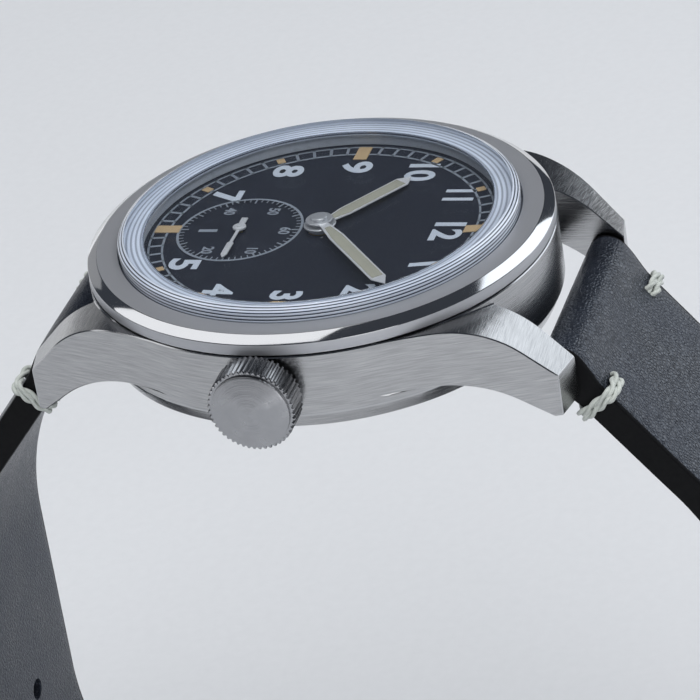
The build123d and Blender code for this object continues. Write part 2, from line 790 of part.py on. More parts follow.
# Hidden plate, kept plain: pivot holes, the post of the minute wheel and the stem's way in
with BuildPart() as main_plate:
    disc(plate_radius, plate_bottom, plate_top)
    disc(minute_post_radius, plate_top, minute_pinion_top, minute_wheel_place)
    disc(centre_arbor_radius + running_gap, plate_bottom, plate_top, mode=Mode.SUBTRACT)
    disc(fourth_arbor_radius + running_gap, plate_bottom, plate_top, fourth_place, Mode.SUBTRACT)
    hole_top = plate_bottom + pivot_depth + running_gap
    for place in (third_place, escape_place, pallet_place, balance_place):
        disc(pivot_radius + running_gap, plate_bottom, hole_top, place, Mode.SUBTRACT)
    disc(barrel_arbor_radius + running_gap, plate_bottom, hole_top, barrel_place, Mode.SUBTRACT)
    stem_way_start = stem_start - sliding_slot_margin
    crown_line_disc(stem_radius + 2 * running_gap, stem_way_start, plate_radius + cut_overrun, Mode.SUBTRACT)
    slot_length = sliding_pinion_end - sliding_pinion_start + 2 * sliding_slot_margin
    slot_width = 2 * (sliding_pinion_radius + sliding_slot_margin)
    with Locations((sliding_pinion_start - sliding_slot_margin, 0, plate_bottom)):
        slot_align = (Align.MIN, Align.CENTER, Align.MIN)
        Box(slot_length, slot_width, plate_top - plate_bottom, align=slot_align, mode=Mode.SUBTRACT)
main_plate.part.label = "main_plate"
export_step(main_plate.part, "parts/main_plate.step")

# One bridge over barrel and train, cut back where the balance swings
with BuildPart() as train_bridge:
    disc(bridge_radius, bridge_bottom, bridge_top)
    disc(balance_radius + balance_window_margin, bridge_bottom, bridge_top, balance_place, Mode.SUBTRACT)
    with Locations((bridge_cut_left, bridge_cut_top, bridge_bottom)):
        cut_align = (Align.MIN, Align.MAX, Align.MIN)
        bridge_thickness = bridge_top - bridge_bottom
        Box(bridge_radius, 2 * bridge_radius, bridge_thickness, align=cut_align, mode=Mode.SUBTRACT)
    for place in pillar_places:
        disc(pillar_radius, bridge_top, plate_bottom, place)
    hole_bottom = bridge_top - pivot_depth - running_gap
    for place in (third_place, escape_place, fourth_place, (0, 0)):
        disc(centre_arbor_radius + running_gap, hole_bottom, bridge_top, place, Mode.SUBTRACT)
    disc(barrel_arbor_radius + running_gap, hole_bottom, bridge_top, barrel_place, Mode.SUBTRACT)
train_bridge.part.label = "train_bridge"
export_step(train_bridge.part, "parts/train_bridge.step")

with BuildPart() as bridge_screws:
    for place in pillar_places:
        disc(screw_head_radius, bridge_bottom - screw_head_height, bridge_bottom, place)
bridge_screws.part.label = "bridge_screws"
export_step(bridge_screws.part, "parts/bridge_screws.step")

with BuildPart() as balance_cock:
    arm = (balance_place[0] - cock_place[0], balance_place[1] - cock_place[1])
    arm_turn = math.degrees(math.atan2(arm[1], arm[0]))
    middle = ((balance_place[0] + cock_place[0]) / 2, (balance_place[1] + cock_place[1]) / 2, bridge_bottom)
    with BuildSketch(Plane(origin=middle)):
        with Locations(Location((0, 0), arm_turn)):
            SlotOverall(math.hypot(arm[0], arm[1]) + cock_width, cock_width)
    extrude(amount=bridge_top - bridge_bottom)
    disc(cock_pillar_radius, bridge_top, plate_bottom, cock_place)
    disc(pivot_radius + running_gap, hole_bottom, bridge_top, balance_place, Mode.SUBTRACT)
balance_cock.part.label = "balance_cock"
export_step(balance_cock.part, "parts/balance_cock.step")

# The hidden wheels are plain discs at their pitch radii, a mesh gap apart
with BuildPart() as barrel:
    disc(barrel_radius - mesh_gap, barrel_bottom, barrel_top, barrel_place)
    disc(barrel_arbor_radius, bridge_top - pivot_depth, plate_bottom + pivot_depth, barrel_place)
barrel.part.label = "barrel"
export_step(barrel.part, "parts/barrel.step")

with BuildPart() as centre_wheel:
    disc(centre_wheel_radius - mesh_gap, centre_wheel_bottom, centre_wheel_bottom + wheel_thickness)
    disc(centre_pinion_radius - mesh_gap, centre_wheel_bottom + wheel_thickness, barrel_top)
    disc(centre_arbor_radius, staff_bottom, centre_arbor_top)
centre_wheel.part.label = "centre_wheel"
export_step(centre_wheel.part, "parts/centre_wheel.step")

with BuildPart() as third_wheel:
    wheel_top = third_wheel_bottom + wheel_thickness
    disc(third_wheel_radius - mesh_gap, third_wheel_bottom, wheel_top, third_place)
    disc(third_pinion_radius - mesh_gap, bridge_top + running_gap, third_wheel_bottom, third_place)
    disc(pivot_radius, staff_bottom, plate_bottom + pivot_depth, third_place)
third_wheel.part.label = "third_wheel"
export_step(third_wheel.part, "parts/third_wheel.step")

with BuildPart() as fourth_wheel:
    wheel_top = fourth_wheel_bottom + wheel_thickness
    disc(fourth_wheel_radius - mesh_gap, fourth_wheel_bottom, wheel_top, fourth_place)
    disc(fourth_pinion_radius - mesh_gap, wheel_top, plate_bottom - running_gap, fourth_place)
    disc(fourth_arbor_radius, staff_bottom, fourth_arbor_top, fourth_place)
fourth_wheel.part.label = "fourth_wheel"
export_step(fourth_wheel.part, "parts/fourth_wheel.step")

# Escape wheel with its club teeth drawn as plain points
with BuildPart() as escape_wheel:
    with BuildSketch(Plane(origin=(escape_place[0], escape_place[1], escape_wheel_bottom))):
        tooth_places = []
        for tooth in range(escape_teeth):
            for part_share, reach_share in escape_tooth_shares:
                turn = 2 * math.pi * (tooth + part_share) / escape_teeth
                reach = (escape_wheel_radius - mesh_gap) * reach_share
                tooth_places.append((reach * math.cos(turn), reach * math.sin(turn)))
        with BuildLine():
            Polyline(*tooth_places, close=True)
        make_face()
    extrude(amount=wheel_thickness)
    disc(escape_pinion_radius - mesh_gap, bridge_top + running_gap, escape_wheel_bottom, escape_place)
    disc(pivot_radius, staff_bottom, plate_bottom + pivot_depth, escape_place)
escape_wheel.part.label = "escape_wheel"
export_step(escape_wheel.part, "parts/escape_wheel.step")

# Lever with a fork at the balance roller and two stones beside the escape wheel
with BuildPart() as pallet_fork:
    reach = (balance_place[0] - pallet_place[0], balance_place[1] - pallet_place[1])
    fork_length = math.hypot(reach[0], reach[1]) - balance_roller_radius - fork_clearance
    fork_origin = (pallet_place[0], pallet_place[1], escape_wheel_bottom)
    fork_plane = Plane(origin=fork_origin).rotated((0, 0, fork_turn))
    with BuildSketch(fork_plane):
        Rectangle(fork_length, pallet_arm_width, align=(Align.MIN, Align.CENTER))
        Rectangle(pallet_arm_width, 2 * pallet_arm_reach)
        for sign in (1, -1):
            with Locations((0, sign * pallet_arm_reach)):
                Rectangle(pallet_stone_reach, pallet_arm_width, align=(Align.MAX, Align.CENTER))
    extrude(amount=wheel_thickness)
    disc(pivot_radius, escape_wheel_bottom, plate_bottom + pivot_depth, pallet_place)
pallet_fork.part.label = "pallet_fork"
export_step(pallet_fork.part, "parts/pallet_fork.step")

with BuildPart() as balance_wheel:
    disc(balance_radius, balance_bottom, balance_top, balance_place)
    disc(balance_radius - balance_rim_width, balance_bottom, balance_top, balance_place, Mode.SUBTRACT)
    with Locations((balance_place[0], balance_place[1], balance_bottom)):
        arm_length = 2 * balance_radius - balance_rim_width
        Box(arm_length, balance_arm_width, balance_top - balance_bottom, align=UP)
    disc(pivot_radius, bridge_top - pivot_depth, plate_bottom + pivot_depth, balance_place)
    disc(balance_roller_radius, escape_wheel_bottom, escape_wheel_bottom + wheel_thickness, balance_place)
balance_wheel.part.label = "balance_wheel"
export_step(balance_wheel.part, "parts/balance_wheel.step")

with BuildPart() as cannon_pinion:
    disc(cannon_pinion_radius - mesh_gap, cannon_bottom, cannon_pinion_top)
    disc(cannon_pipe_radius, cannon_pinion_top, cannon_top)
    disc(cannon_bore_radius, cannon_bottom, centre_arbor_top + running_gap, mode=Mode.SUBTRACT)
cannon_pinion.part.label = "cannon_pinion"
export_step(cannon_pinion.part, "parts/cannon_pinion.step")

with BuildPart() as minute_wheel:
    disc(minute_wheel_radius - mesh_gap, cannon_bottom, cannon_bottom + wheel_thickness, minute_wheel_place)
    disc(minute_pinion_radius - mesh_gap, cannon_bottom, minute_pinion_top, minute_wheel_place)
    post_hole = minute_post_radius + running_gap
    disc(post_hole, cannon_bottom, minute_pinion_top, minute_wheel_place, Mode.SUBTRACT)
minute_wheel.part.label = "minute_wheel"
export_step(minute_wheel.part, "parts/minute_wheel.step")

with BuildPart() as hour_wheel:
    disc(hour_wheel_radius - mesh_gap, hour_wheel_bottom, hour_wheel_bottom + wheel_thickness)
    disc(hour_pipe_radius, hour_wheel_bottom, hour_pipe_top)
    disc(hour_pipe_bore, hour_wheel_bottom, hour_pipe_top, mode=Mode.SUBTRACT)
hour_wheel.part.label = "hour_wheel"
export_step(hour_wheel.part, "parts/hour_wheel.step")


# A hand's outline pointing along +Y: narrow neck, long blade and a pointed end
def hand_outline(length, width):
    neck = hand_neck_width / 2
    half = width / 2
    right = [(neck, 0), (neck, length * hand_neck_share), (half, length * hand_widest_share)]
    right.append((half, length * hand_point_share))
    left = [(-x, y) for x, y in reversed(right)]
    Polyline(*right, (0, length), *left, close=True)


with BuildPart() as hour_hand:
    with BuildSketch(Plane(origin=(0, 0, hour_hand_bottom)).rotated((0, 0, -hour_angle))):
        with BuildLine():
            hand_outline(hour_hand_length, hour_hand_width)
        make_face()
        Circle(hour_hub_radius)
        Circle(hour_pipe_radius, mode=Mode.SUBTRACT)
    extrude(amount=hand_thickness)
hour_hand.part.label = "hour_hand"
export_step(hour_hand.part, "parts/hour_hand.step")

with BuildPart() as minute_hand:
    with BuildSketch(Plane(origin=(0, 0, minute_hand_bottom)).rotated((0, 0, -minute_angle))):
        with BuildLine():
            hand_outline(minute_hand_length, minute_hand_width)
        make_face()
        Circle(minute_hub_radius)
        Circle(cannon_pipe_radius, mode=Mode.SUBTRACT)
    extrude(amount=hand_thickness)
minute_hand.part.label = "minute_hand"
export_step(minute_hand.part, "parts/minute_hand.step")

# Small seconds hand with a short tail, pressed on the fourth wheel's arbor
with BuildPart() as seconds_hand:
    seconds_plane = Plane(origin=(0, -seconds_offset, seconds_hand_bottom)).rotated((0, 0, -seconds_angle))
    with BuildSketch(seconds_plane):
        with BuildLine():
            half = seconds_hand_width / 2
            blade_start = seconds_hand_length / 2
            blade_end = seconds_hand_length * hand_point_share
            tail_end = seconds_hand_tail_blade - seconds_hand_tail
            right = [(half, -seconds_hand_tail), (half, tail_end), (half / 2, tail_end)]
            right.append((half / 2, blade_start))
            right += [(half, blade_start), (half, blade_end)]
            left = [(-x, y) for x, y in reversed(right)]
            Polyline(*right, (0, seconds_hand_length), *left, close=True)
        make_face()
        Circle(seconds_hub_radius)
        Circle(fourth_arbor_radius, mode=Mode.SUBTRACT)
    extrude(amount=seconds_hand_thickness)
seconds_hand.part.label = "seconds_hand"
export_step(seconds_hand.part, "parts/seconds_hand.step")

# Toothed outline of the crown at one distance from the dial axis, drawn in by a step
def grip_outline(start, step):
    with BuildSketch(Plane.YZ.offset(start), mode=Mode.PRIVATE) as outline:
        with Locations((0, stem_height)):
            places = []
            for point in range(2 * crown_teeth):
                turn = math.pi * point / crown_teeth
                reach = (crown_radius, crown_root_radius)[point % 2] - step
                places.append((reach * math.cos(turn), reach * math.sin(turn)))
            Polygon(*places)
    return outline.sketch


# Crown: toothed grip with bevelled ends, plain rim and a low cone, hollow towards the case
with BuildPart() as crown:
    grip_faces = [
        grip_outline(crown_start, crown_edge_break),
        grip_outline(crown_start + crown_edge_break, 0),
        grip_outline(crown_knurl_end - crown_edge_break, 0),
        grip_outline(crown_knurl_end, crown_edge_break),
    ]
    loft(grip_faces, ruled=True)
    crown_axis = Axis((0, 0, stem_height), (1, 0, 0))
    with BuildSketch(Plane.XZ, mode=Mode.PRIVATE) as crown_end:
        with BuildLine():
            Polyline(
                (crown_knurl_end, stem_height),
                (crown_knurl_end, stem_height + crown_rim_radius),
                (crown_rim_end, stem_height + crown_rim_radius),
                (crown_tip, stem_height),
                close=True,
            )
        make_face()
    revolve(crown_end.sketch, axis=crown_axis)
    crown_line_disc(crown_cavity_radius, crown_start, crown_cavity_end, Mode.SUBTRACT)
    crown_line_disc(stem_radius, crown_cavity_end, stem_end, Mode.SUBTRACT)
crown.part.label = "crown"
export_step(crown.part, "parts/crown.step")

with BuildPart() as crown_seal:
    crown_line_disc(crown_cavity_radius, crown_seal_start, crown_seal_end)
    crown_line_disc(tube_radius + running_gap, crown_seal_start, crown_seal_end, Mode.SUBTRACT)
crown_seal.part.label = "crown_seal"
export_step(crown_seal.part, "parts/crown_seal.step")

with BuildPart() as stem:
    crown_line_disc(stem_radius, stem_start, stem_end)
stem.part.label = "stem"
export_step(stem.part, "parts/stem.step")

with BuildPart() as sliding_pinion:
    crown_line_disc(sliding_pinion_radius, sliding_pinion_start, sliding_pinion_end)
    crown_line_disc(stem_radius + running_gap, sliding_pinion_start, sliding_pinion_end, Mode.SUBTRACT)
sliding_pinion.part.label = "sliding_pinion"
export_step(sliding_pinion.part, "parts/sliding_pinion.step")


# A cross bar with thinner tips, centred on X
def cross_bar(reach, level, half_length, radius, tip_radius, tip_length):
    with Locations(Location((-half_length, reach, level), (0, 90, 0))):
        Cylinder(radius, 2 * half_length, align=UP)
    with Locations(Location((-half_length - tip_length, reach, level), (0, 90, 0))):
        Cylinder(tip_radius, 2 * (half_length + tip_length), align=UP)


with BuildPart() as spring_bar_12:
    cross_bar(bar_reach, bar_height, bar_half_length, bar_radius, bar_tip_radius, bar_tip_length)
spring_bar_12.part.label = "spring_bar_12"
export_step(spring_bar_12.part, "parts/spring_bar_12.step")

with BuildPart() as spring_bar_6:
    cross_bar(-bar_reach, bar_height, bar_half_length, bar_radius, bar_tip_radius, bar_tip_length)
spring_bar_6.part.label = "spring_bar_6"
export_step(spring_bar_6.part, "parts/spring_bar_6.step")


# A roll of leather round a cross bar, or the bore through it
def roll(reach, level, radius, mode=Mode.ADD):
    with Locations(Location((-strap_half_width, reach, level), (0, 90, 0))):
        Cylinder(radius, 2 * strap_half_width, align=UP, mode=mode)


# The slots that the bar stitches pass through
def stitch_slots(side):
    slot_size = (stitch_thickness + 2 * stitch_hole_margin, stitch_width + 2 * stitch_hole_margin)
    for sign in (1, -1):
        slot_x = sign * (stitch_inner_x + stitch_thickness / 2)
        place = strap_plane(stitch_station, side)
        with BuildSketch(place, mode=Mode.PRIVATE) as slot:
            with Locations((slot_x, 0)):
                Rectangle(slot_size[0], strap_thickness * 2)
        extrude(slot.sketch, amount=slot_size[1] / 2, both=True, mode=Mode.SUBTRACT)


# One thread loop round each edge of the leather
def stitch_loops(side):
    half = strap_thickness / 2 + stitch_gap
    low_x = stitch_inner_x
    high_x = strap_half_width + stitch_gap + stitch_thickness
    for sign in (1, -1):
        with BuildSketch(strap_plane(stitch_station, side), mode=Mode.PRIVATE) as loop:
            with Locations((sign * (low_x + high_x) / 2, 0)):
                Rectangle(high_x - low_x, 2 * (half + stitch_thickness))
                chamfer(loop.vertices(), length=stitch_corner)
                Rectangle(high_x - low_x - 2 * stitch_thickness, 2 * half, mode=Mode.SUBTRACT)
        extrude(loop.sketch, amount=stitch_width / 2, both=True)


# Twelve o'clock half: roll round the spring bar, roll round the buckle bar, slot for the tongue
with BuildPart() as strap_12:
    extrude(strap_side_face(short_length, 1), amount=strap_half_width, both=True)
    roll(bar_reach, bar_height, strap_roll_radius)
    buckle_y, buckle_z = strap_point(short_length, 0, 1)
    roll(buckle_y, buckle_z, buckle_roll_radius)
    strap_taper()
    roll(bar_reach, bar_height, bar_radius + running_gap, Mode.SUBTRACT)
    roll(buckle_y, buckle_z, buckle_bar_radius + running_gap, Mode.SUBTRACT)
    tongue_slot_plane = strap_plane(short_length - tongue_slot_depth, 1)
    with BuildSketch(tongue_slot_plane, mode=Mode.PRIVATE) as tongue_slot:
        Rectangle(2 * tongue_slot_half_width, 4 * strap_thickness)
    extrude(tongue_slot.sketch, amount=2 * tongue_slot_depth, mode=Mode.SUBTRACT)
    stitch_slots(1)
strap_12.part.label = "strap_12"
export_step(strap_12.part, "parts/strap_12.step")

# Six o'clock half: the longer one, with the row of holes and a rounded tail
with BuildPart() as strap_6:
    extrude(strap_side_face(long_length, -1), amount=strap_half_width, both=True)
    roll(-bar_reach, bar_height, strap_roll_radius)
    strap_taper()
    roll(-bar_reach, bar_height, bar_radius + running_gap, Mode.SUBTRACT)
    for hole in range(strap_hole_count):
        reach, level, heading = strap_place(long_length - strap_first_hole - hole * strap_hole_pitch)
        outward = (0, -math.sin(heading), math.cos(heading))
        hole_plane = Plane(origin=(0, -reach, level), x_dir=(1, 0, 0), z_dir=outward)
        with BuildSketch(hole_plane, mode=Mode.PRIVATE) as hole_face:
            Circle(strap_hole_radius)
        extrude(hole_face.sketch, amount=strap_thickness, both=True, mode=Mode.SUBTRACT)
    stitch_slots(-1)
    tail_edges = strap_6.edges().filter_by(Axis.Z).sort_by(Axis.Y)[-2:]
    fillet(tail_edges, radius=tail_corner_radius)
strap_6.part.label = "strap_6"
export_step(strap_6.part, "parts/strap_6.step")

with BuildPart() as lug_stitches_12:
    stitch_loops(1)
lug_stitches_12.part.label = "lug_stitches_12"
export_step(lug_stitches_12.part, "parts/lug_stitches_12.step")

with BuildPart() as lug_stitches_6:
    stitch_loops(-1)
lug_stitches_6.part.label = "lug_stitches_6"
export_step(lug_stitches_6.part, "parts/lug_stitches_6.step")


# A flat leather loop round the strap, with room for the tail outside it
def keeper(station):
    inner_half = strap_half_width + keeper_side_gap
    low = -strap_thickness / 2 - keeper_under_gap
    high = strap_thickness / 2 + keeper_room
    with BuildSketch(strap_plane(station, 1), mode=Mode.PRIVATE) as loop:
        with Locations((0, -(low + high) / 2)):
            Rectangle(2 * (inner_half + keeper_wall), high - low + 2 * keeper_wall)
            Rectangle(2 * inner_half, high - low, mode=Mode.SUBTRACT)
    extrude(loop.sketch, amount=keeper_width / 2, both=True)


with BuildPart() as fixed_keeper:
    keeper(fixed_keeper_station)
fixed_keeper.part.label = "fixed_keeper"
export_step(fixed_keeper.part, "parts/fixed_keeper.step")

with BuildPart() as free_keeper:
    keeper(free_keeper_station)
free_keeper.part.label = "free_keeper"
export_step(free_keeper.part, "parts/free_keeper.step")

# Flat steel frame lying level in front of the short half's end
with BuildPart() as buckle_frame:
    frame_middle = buckle_y + (buckle_heel - buckle_reach) / 2
    with BuildSketch(Plane(origin=(0, frame_middle, buckle_z))):
        RectangleRounded(2 * buckle_half_width, buckle_heel + buckle_reach, buckle_corner_radius)
        window_depth = buckle_heel + buckle_reach - buckle_bar_depth
        with Locations((0, (buckle_heel + buckle_reach) / 2)):
            window_align = (Align.CENTER, Align.MAX)
            Rectangle(2 * buckle_inner_half_width, window_depth, align=window_align, mode=Mode.SUBTRACT)
    extrude(amount=buckle_thickness / 2, both=True)
    tip_length = (buckle_half_width - buckle_inner_half_width) / 2
    with Locations(Location((-buckle_inner_half_width - tip_length, buckle_y, buckle_z), (0, 90, 0))):
        bore_length = 2 * (buckle_inner_half_width + tip_length)
        Cylinder(buckle_bar_tip_radius + seat_gap, bore_length, align=UP, mode=Mode.SUBTRACT)
buckle_frame.part.label = "buckle_frame"
export_step(buckle_frame.part, "parts/buckle_frame.step")

with BuildPart() as buckle_bar:
    half_length = buckle_inner_half_width - running_gap
    cross_bar(buckle_y, buckle_z, half_length, buckle_bar_radius, buckle_bar_tip_radius, tip_length)
buckle_bar.part.label = "buckle_bar"
export_step(buckle_bar.part, "parts/buckle_bar.step")

# Tongue: a ring on the bar and a blade that rests on the outside of the frame's front bar
with BuildPart() as buckle_tongue:
    with Locations(Location((-tongue_half_width, buckle_y, buckle_z), (0, 90, 0))):
        Cylinder(tongue_ring_radius, 2 * tongue_half_width, align=UP)
    blade_top = buckle_z - buckle_thickness / 2 - seat_gap
    with Locations((0, buckle_y, blade_top)):
        blade_align = (Align.CENTER, Align.MAX, Align.MAX)
        Box(2 * tongue_half_width, buckle_reach + tongue_overhang, tongue_thickness, align=blade_align)
    with Locations(Location((-tongue_half_width, buckle_y, buckle_z), (0, 90, 0))):
        Cylinder(buckle_bar_radius + running_gap, 2 * tongue_half_width, align=UP, mode=Mode.SUBTRACT)
buckle_tongue.part.label = "buckle_tongue"
export_step(buckle_tongue.part, "parts/buckle_tongue.step")
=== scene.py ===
import math

import bmesh
import bpy
from mathutils import Matrix, Vector


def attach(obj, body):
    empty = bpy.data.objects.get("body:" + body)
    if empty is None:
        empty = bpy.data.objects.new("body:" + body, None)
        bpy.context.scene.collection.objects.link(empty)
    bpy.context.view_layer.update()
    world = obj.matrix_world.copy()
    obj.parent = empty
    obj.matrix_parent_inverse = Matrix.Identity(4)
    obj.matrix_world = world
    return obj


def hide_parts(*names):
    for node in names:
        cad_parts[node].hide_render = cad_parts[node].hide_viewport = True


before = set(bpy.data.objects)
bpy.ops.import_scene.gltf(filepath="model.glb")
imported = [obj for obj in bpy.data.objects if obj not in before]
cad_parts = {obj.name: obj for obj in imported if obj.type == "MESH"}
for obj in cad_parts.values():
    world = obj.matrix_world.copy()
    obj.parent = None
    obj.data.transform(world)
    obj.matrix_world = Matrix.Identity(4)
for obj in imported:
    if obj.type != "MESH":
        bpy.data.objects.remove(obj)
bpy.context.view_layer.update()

mm = 0.001

# Middle case: one block of steel, turned and milled with its four lugs. The flanks are
# brushed level, the lug tops are satin across the strap, and the edges are lightly broken.


class Tone:
    """An output socket of a finish. Arithmetic on it adds Math nodes."""

    def __init__(self, finish, socket):
        self.finish = finish
        self.socket = socket

    def sum_with(self, operation, first, second):
        return self.finish.node("ShaderNodeMath", {"operation": operation}, first, second)

    def __add__(self, other):
        return self.sum_with("ADD", self, other)

    def __radd__(self, other):
        return self.sum_with("ADD", other, self)

    def __sub__(self, other):
        return self.sum_with("SUBTRACT", self, other)

    def __rsub__(self, other):
        return self.sum_with("SUBTRACT", other, self)

    def __mul__(self, other):
        return self.sum_with("MULTIPLY", self, other)

    def __rmul__(self, other):
        return self.sum_with("MULTIPLY", other, self)

    def __pow__(self, other):
        return self.sum_with("POWER", self, other)

    def part(self, name):
        return Tone(self.finish, self.socket.node.outputs[name])


class Finish:
    """A material under construction, with one method that adds any node."""

    def __init__(self, name):
        self.material = bpy.data.materials.new(name)
        self.material.use_nodes = True
        self.tree = self.material.node_tree
        self.tree.nodes.clear()
        self.out = self.tree.nodes.new("ShaderNodeOutputMaterial")

    def node(self, kind, settings=None, *values, **sockets):
        added = self.tree.nodes.new(kind)
        for key, value in (settings or {}).items():
            setattr(added, key, value)
        for place, value in enumerate(values):
            self.feed(added.inputs[place], value)
        for key, value in sockets.items():
            self.feed(added.inputs[key.replace("_", " ")], value)
        return Tone(self, next(out for out in added.outputs if out.enabled))

    def feed(self, socket, value):
        if isinstance(value, Tone):
            self.tree.links.new(value.socket, socket)
        elif socket.type == "RGBA":
            socket.default_value = (*value, 1)
        else:
            socket.default_value = value

    def place(self):
        return self.node("ShaderNodeTexCoord").part("Object")

    def stretched(self, *scale):
        return self.node("ShaderNodeMapping", None, self.place(), Scale=scale)

    def spot(self):
        return self.node("ShaderNodeSeparateXYZ", None, self.place())

    def reach(self, spot):
        return (spot.part("X") ** 2.0 + spot.part("Y") ** 2.0) ** 0.5

    def wave(self, value):
        return self.node("ShaderNodeMath", {"operation": "SINE"}, value, 0.0)

    def larger(self, first, second):
        return self.node("ShaderNodeMath", {"operation": "MAXIMUM"}, first, second)

    def noise(self, vector, scale, detail, roughness=0.5):
        grain = {"Vector": vector, "Scale": scale, "Detail": detail, "Roughness": roughness}
        return self.node("ShaderNodeTexNoise", None, **grain)

    def specks(self, scale, detail=2.0, roughness=0.5):
        return self.noise(self.place(), scale, detail, roughness)

    def spread(self, value, low, high, to_low=0.0, to_high=1.0):
        return self.node("ShaderNodeMapRange", None, value, low, high, to_low, to_high)

    def blend(self, amount, first, second):
        mixed = self.node("ShaderNodeMix", {"data_type": "RGBA"})
        mix_node = mixed.socket.node
        self.feed(mix_node.inputs["Factor"], amount)
        colours = [socket for socket in mix_node.inputs if socket.type == "RGBA"]
        self.feed(colours[0], first)
        self.feed(colours[1], second)
        return Tone(self, next(out for out in mix_node.outputs if out.type == "RGBA"))

    def relief(self, height, strength, distance):
        bump = {"Strength": strength, "Distance": distance, "Height": height}
        return self.node("ShaderNodeBump", None, **bump)

    def shown_by(self, shader):
        self.tree.links.new(shader.socket, self.out.inputs["Surface"])
        return self.material

    def surface(self, **sockets):
        return self.shown_by(self.node("ShaderNodeBsdfPrincipled", None, **sockets))


# Flanks and lug tops in one finish: the lines lie level on walls, and across the lugs on top
def case_steel():
    steel = Finish("case_steel")
    normal = steel.node("ShaderNodeNewGeometry").part("Normal")
    facing = steel.node("ShaderNodeSeparateXYZ", None, normal)
    upward = steel.spread(facing.part("Z"), 0.35, 0.6)
    walls = steel.noise(steel.stretched(480, 480, 14000), 1.0, 2.0, 0.45)
    tops = steel.noise(steel.stretched(800, 14000, 800), 1.0, 2.0, 0.45)
    lines = walls * (1 - upward) + tops * upward
    broad = steel.specks(240.0)
    colour = steel.blend(steel.spread(lines, 0.3, 0.7), (0.36, 0.363, 0.37), (0.5, 0.503, 0.51))
    rough = steel.spread(lines, 0.25, 0.75, 0.17, 0.25) + broad * 0.04
    return steel.surface(
        Base_Color=colour,
        Metallic=1.0,
        Roughness=rough,
        Normal=steel.relief(lines, 0.7, 0.000012),
    )


def polished_steel(name, shade=(0.66, 0.67, 0.69), roughness=0.07, metallic=1.0):
    steel = Finish(name)
    film = steel.specks(420.0, 3.0)
    rough = steel.spread(film, 0.3, 0.75, roughness - 0.02, roughness + 0.05)
    colour = steel.blend(film, tuple(part * 0.95 for part in shade), shade)
    return steel.surface(
        Base_Color=colour,
        Metallic=metallic,
        Roughness=rough,
        Normal=steel.relief(film, 0.08, 0.00001),
    )


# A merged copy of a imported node's mesh, with its flat faces joined up
def node_copy(name):
    weld_gap, flat_angle = 0.002 * mm, math.radians(0.4)
    work = bmesh.new()
    work.from_mesh(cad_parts[name].data)
    bmesh.ops.remove_doubles(work, verts=work.verts, dist=weld_gap)
    bmesh.ops.dissolve_limit(work, angle_limit=flat_angle, verts=work.verts, edges=work.edges)
    return work


def bevel(work, edges, width, segments, clamped=True):
    return bmesh.ops.bevel(
        work,
        geom=edges,
        offset=width,
        offset_type="OFFSET",
        segments=segments,
        profile=0.5,
        affect="EDGES",
        clamp_overlap=clamped,
        material=-1,
    )["faces"]


# Bevels each edge that is sharper than an angle, and returns the new faces
def break_edges(work, width, least_angle, segments, clamped=True):
    least = math.radians(least_angle)
    sharp = [edge for edge in work.edges if edge.is_manifold and edge.calc_face_angle(0) > least]
    return bevel(work, sharp, width * mm, segments, clamped)


# Makes a mesh a piece that moves with a body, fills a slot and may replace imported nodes
def add_piece(name, work, finishes, body, replaced=(), smooth=40):
    for face in work.faces:
        face.smooth = True
    for edge in work.edges:
        edge.smooth = edge.calc_face_angle(0) < math.radians(smooth)
    mesh = bpy.data.meshes.new(name)
    work.to_mesh(mesh)
    work.free()
    piece = bpy.data.objects.new(name, mesh)
    bpy.context.collection.objects.link(piece)
    for finish in finishes:
        mesh.materials.append(finish)
    weighted = piece.modifiers.new("even_shading", "WEIGHTED_NORMAL")
    weighted.keep_sharp = True
    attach(piece, body)
    if replaced:
        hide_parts(*replaced)
    return piece


case_edge_break = 0.07
case_work = node_copy("mid_case")
for face in break_edges(case_work, case_edge_break, 20, 1, clamped=False):
    face.material_index = 1
steels = [case_steel(), polished_steel("case_edge", (0.5, 0.505, 0.52), 0.14)]
add_piece("case_middle", case_work, steels, "case", ["mid_case"], smooth=22)

# Bezel: turned steel ring pressed over the case's neck. Its bevel is polished like a mirror,
# and its upright lip and the narrow flat round the crystal are satin.
bezel_rim, bezel_flat_reach, bezel_neck, bezel_mouth = 17.95, 17.18, 16.6, 15.52
bezel_foot, bezel_seat, bezel_lip_top, bezel_flat = 7.17, 7.92, 8.06, 8.54
bezel_edge_break = 0.05


# Spins a closed outline of radius and height pairs, in millimetres, round the dial's axis
def spin_outline(work, outline, steps):
    corners = [work.verts.new((radius * mm, 0, height * mm)) for radius, height in outline]
    sides = [work.edges.new(pair) for pair in zip(corners, corners[1:] + corners[:1])]
    bmesh.ops.spin(
        work,
        geom=corners + sides,
        axis=(0, 0, 1),
        cent=(0, 0, 0),
        angle=2 * math.pi,
        steps=steps,
        use_merge=True,
    )


# A solid turned from such an outline, with its sharp edges broken where a width is given
def turned(outline, steps, broken=0.0, least_angle=18):
    work = bmesh.new()
    spin_outline(work, outline, steps)
    bmesh.ops.remove_doubles(work, verts=work.verts, dist=0.001 * mm)
    bmesh.ops.recalc_face_normals(work, faces=work.faces)
    if broken:
        break_edges(work, broken, least_angle, 3)
    return work


bezel_outline = [
    (bezel_rim, bezel_foot),
    (bezel_rim, bezel_lip_top),
    (bezel_flat_reach, bezel_flat),
    (bezel_mouth, bezel_flat),
    (bezel_mouth, bezel_seat),
    (bezel_neck, bezel_seat),
    (bezel_neck, bezel_foot),
]
bezel_work = turned(bezel_outline, 240, bezel_edge_break)
for face in bezel_work.faces:
    if abs(face.normal.z) > 0.97 or abs(face.normal.z) < 0.2:
        face.material_index = 1
bright_steel = polished_steel("bright_steel")


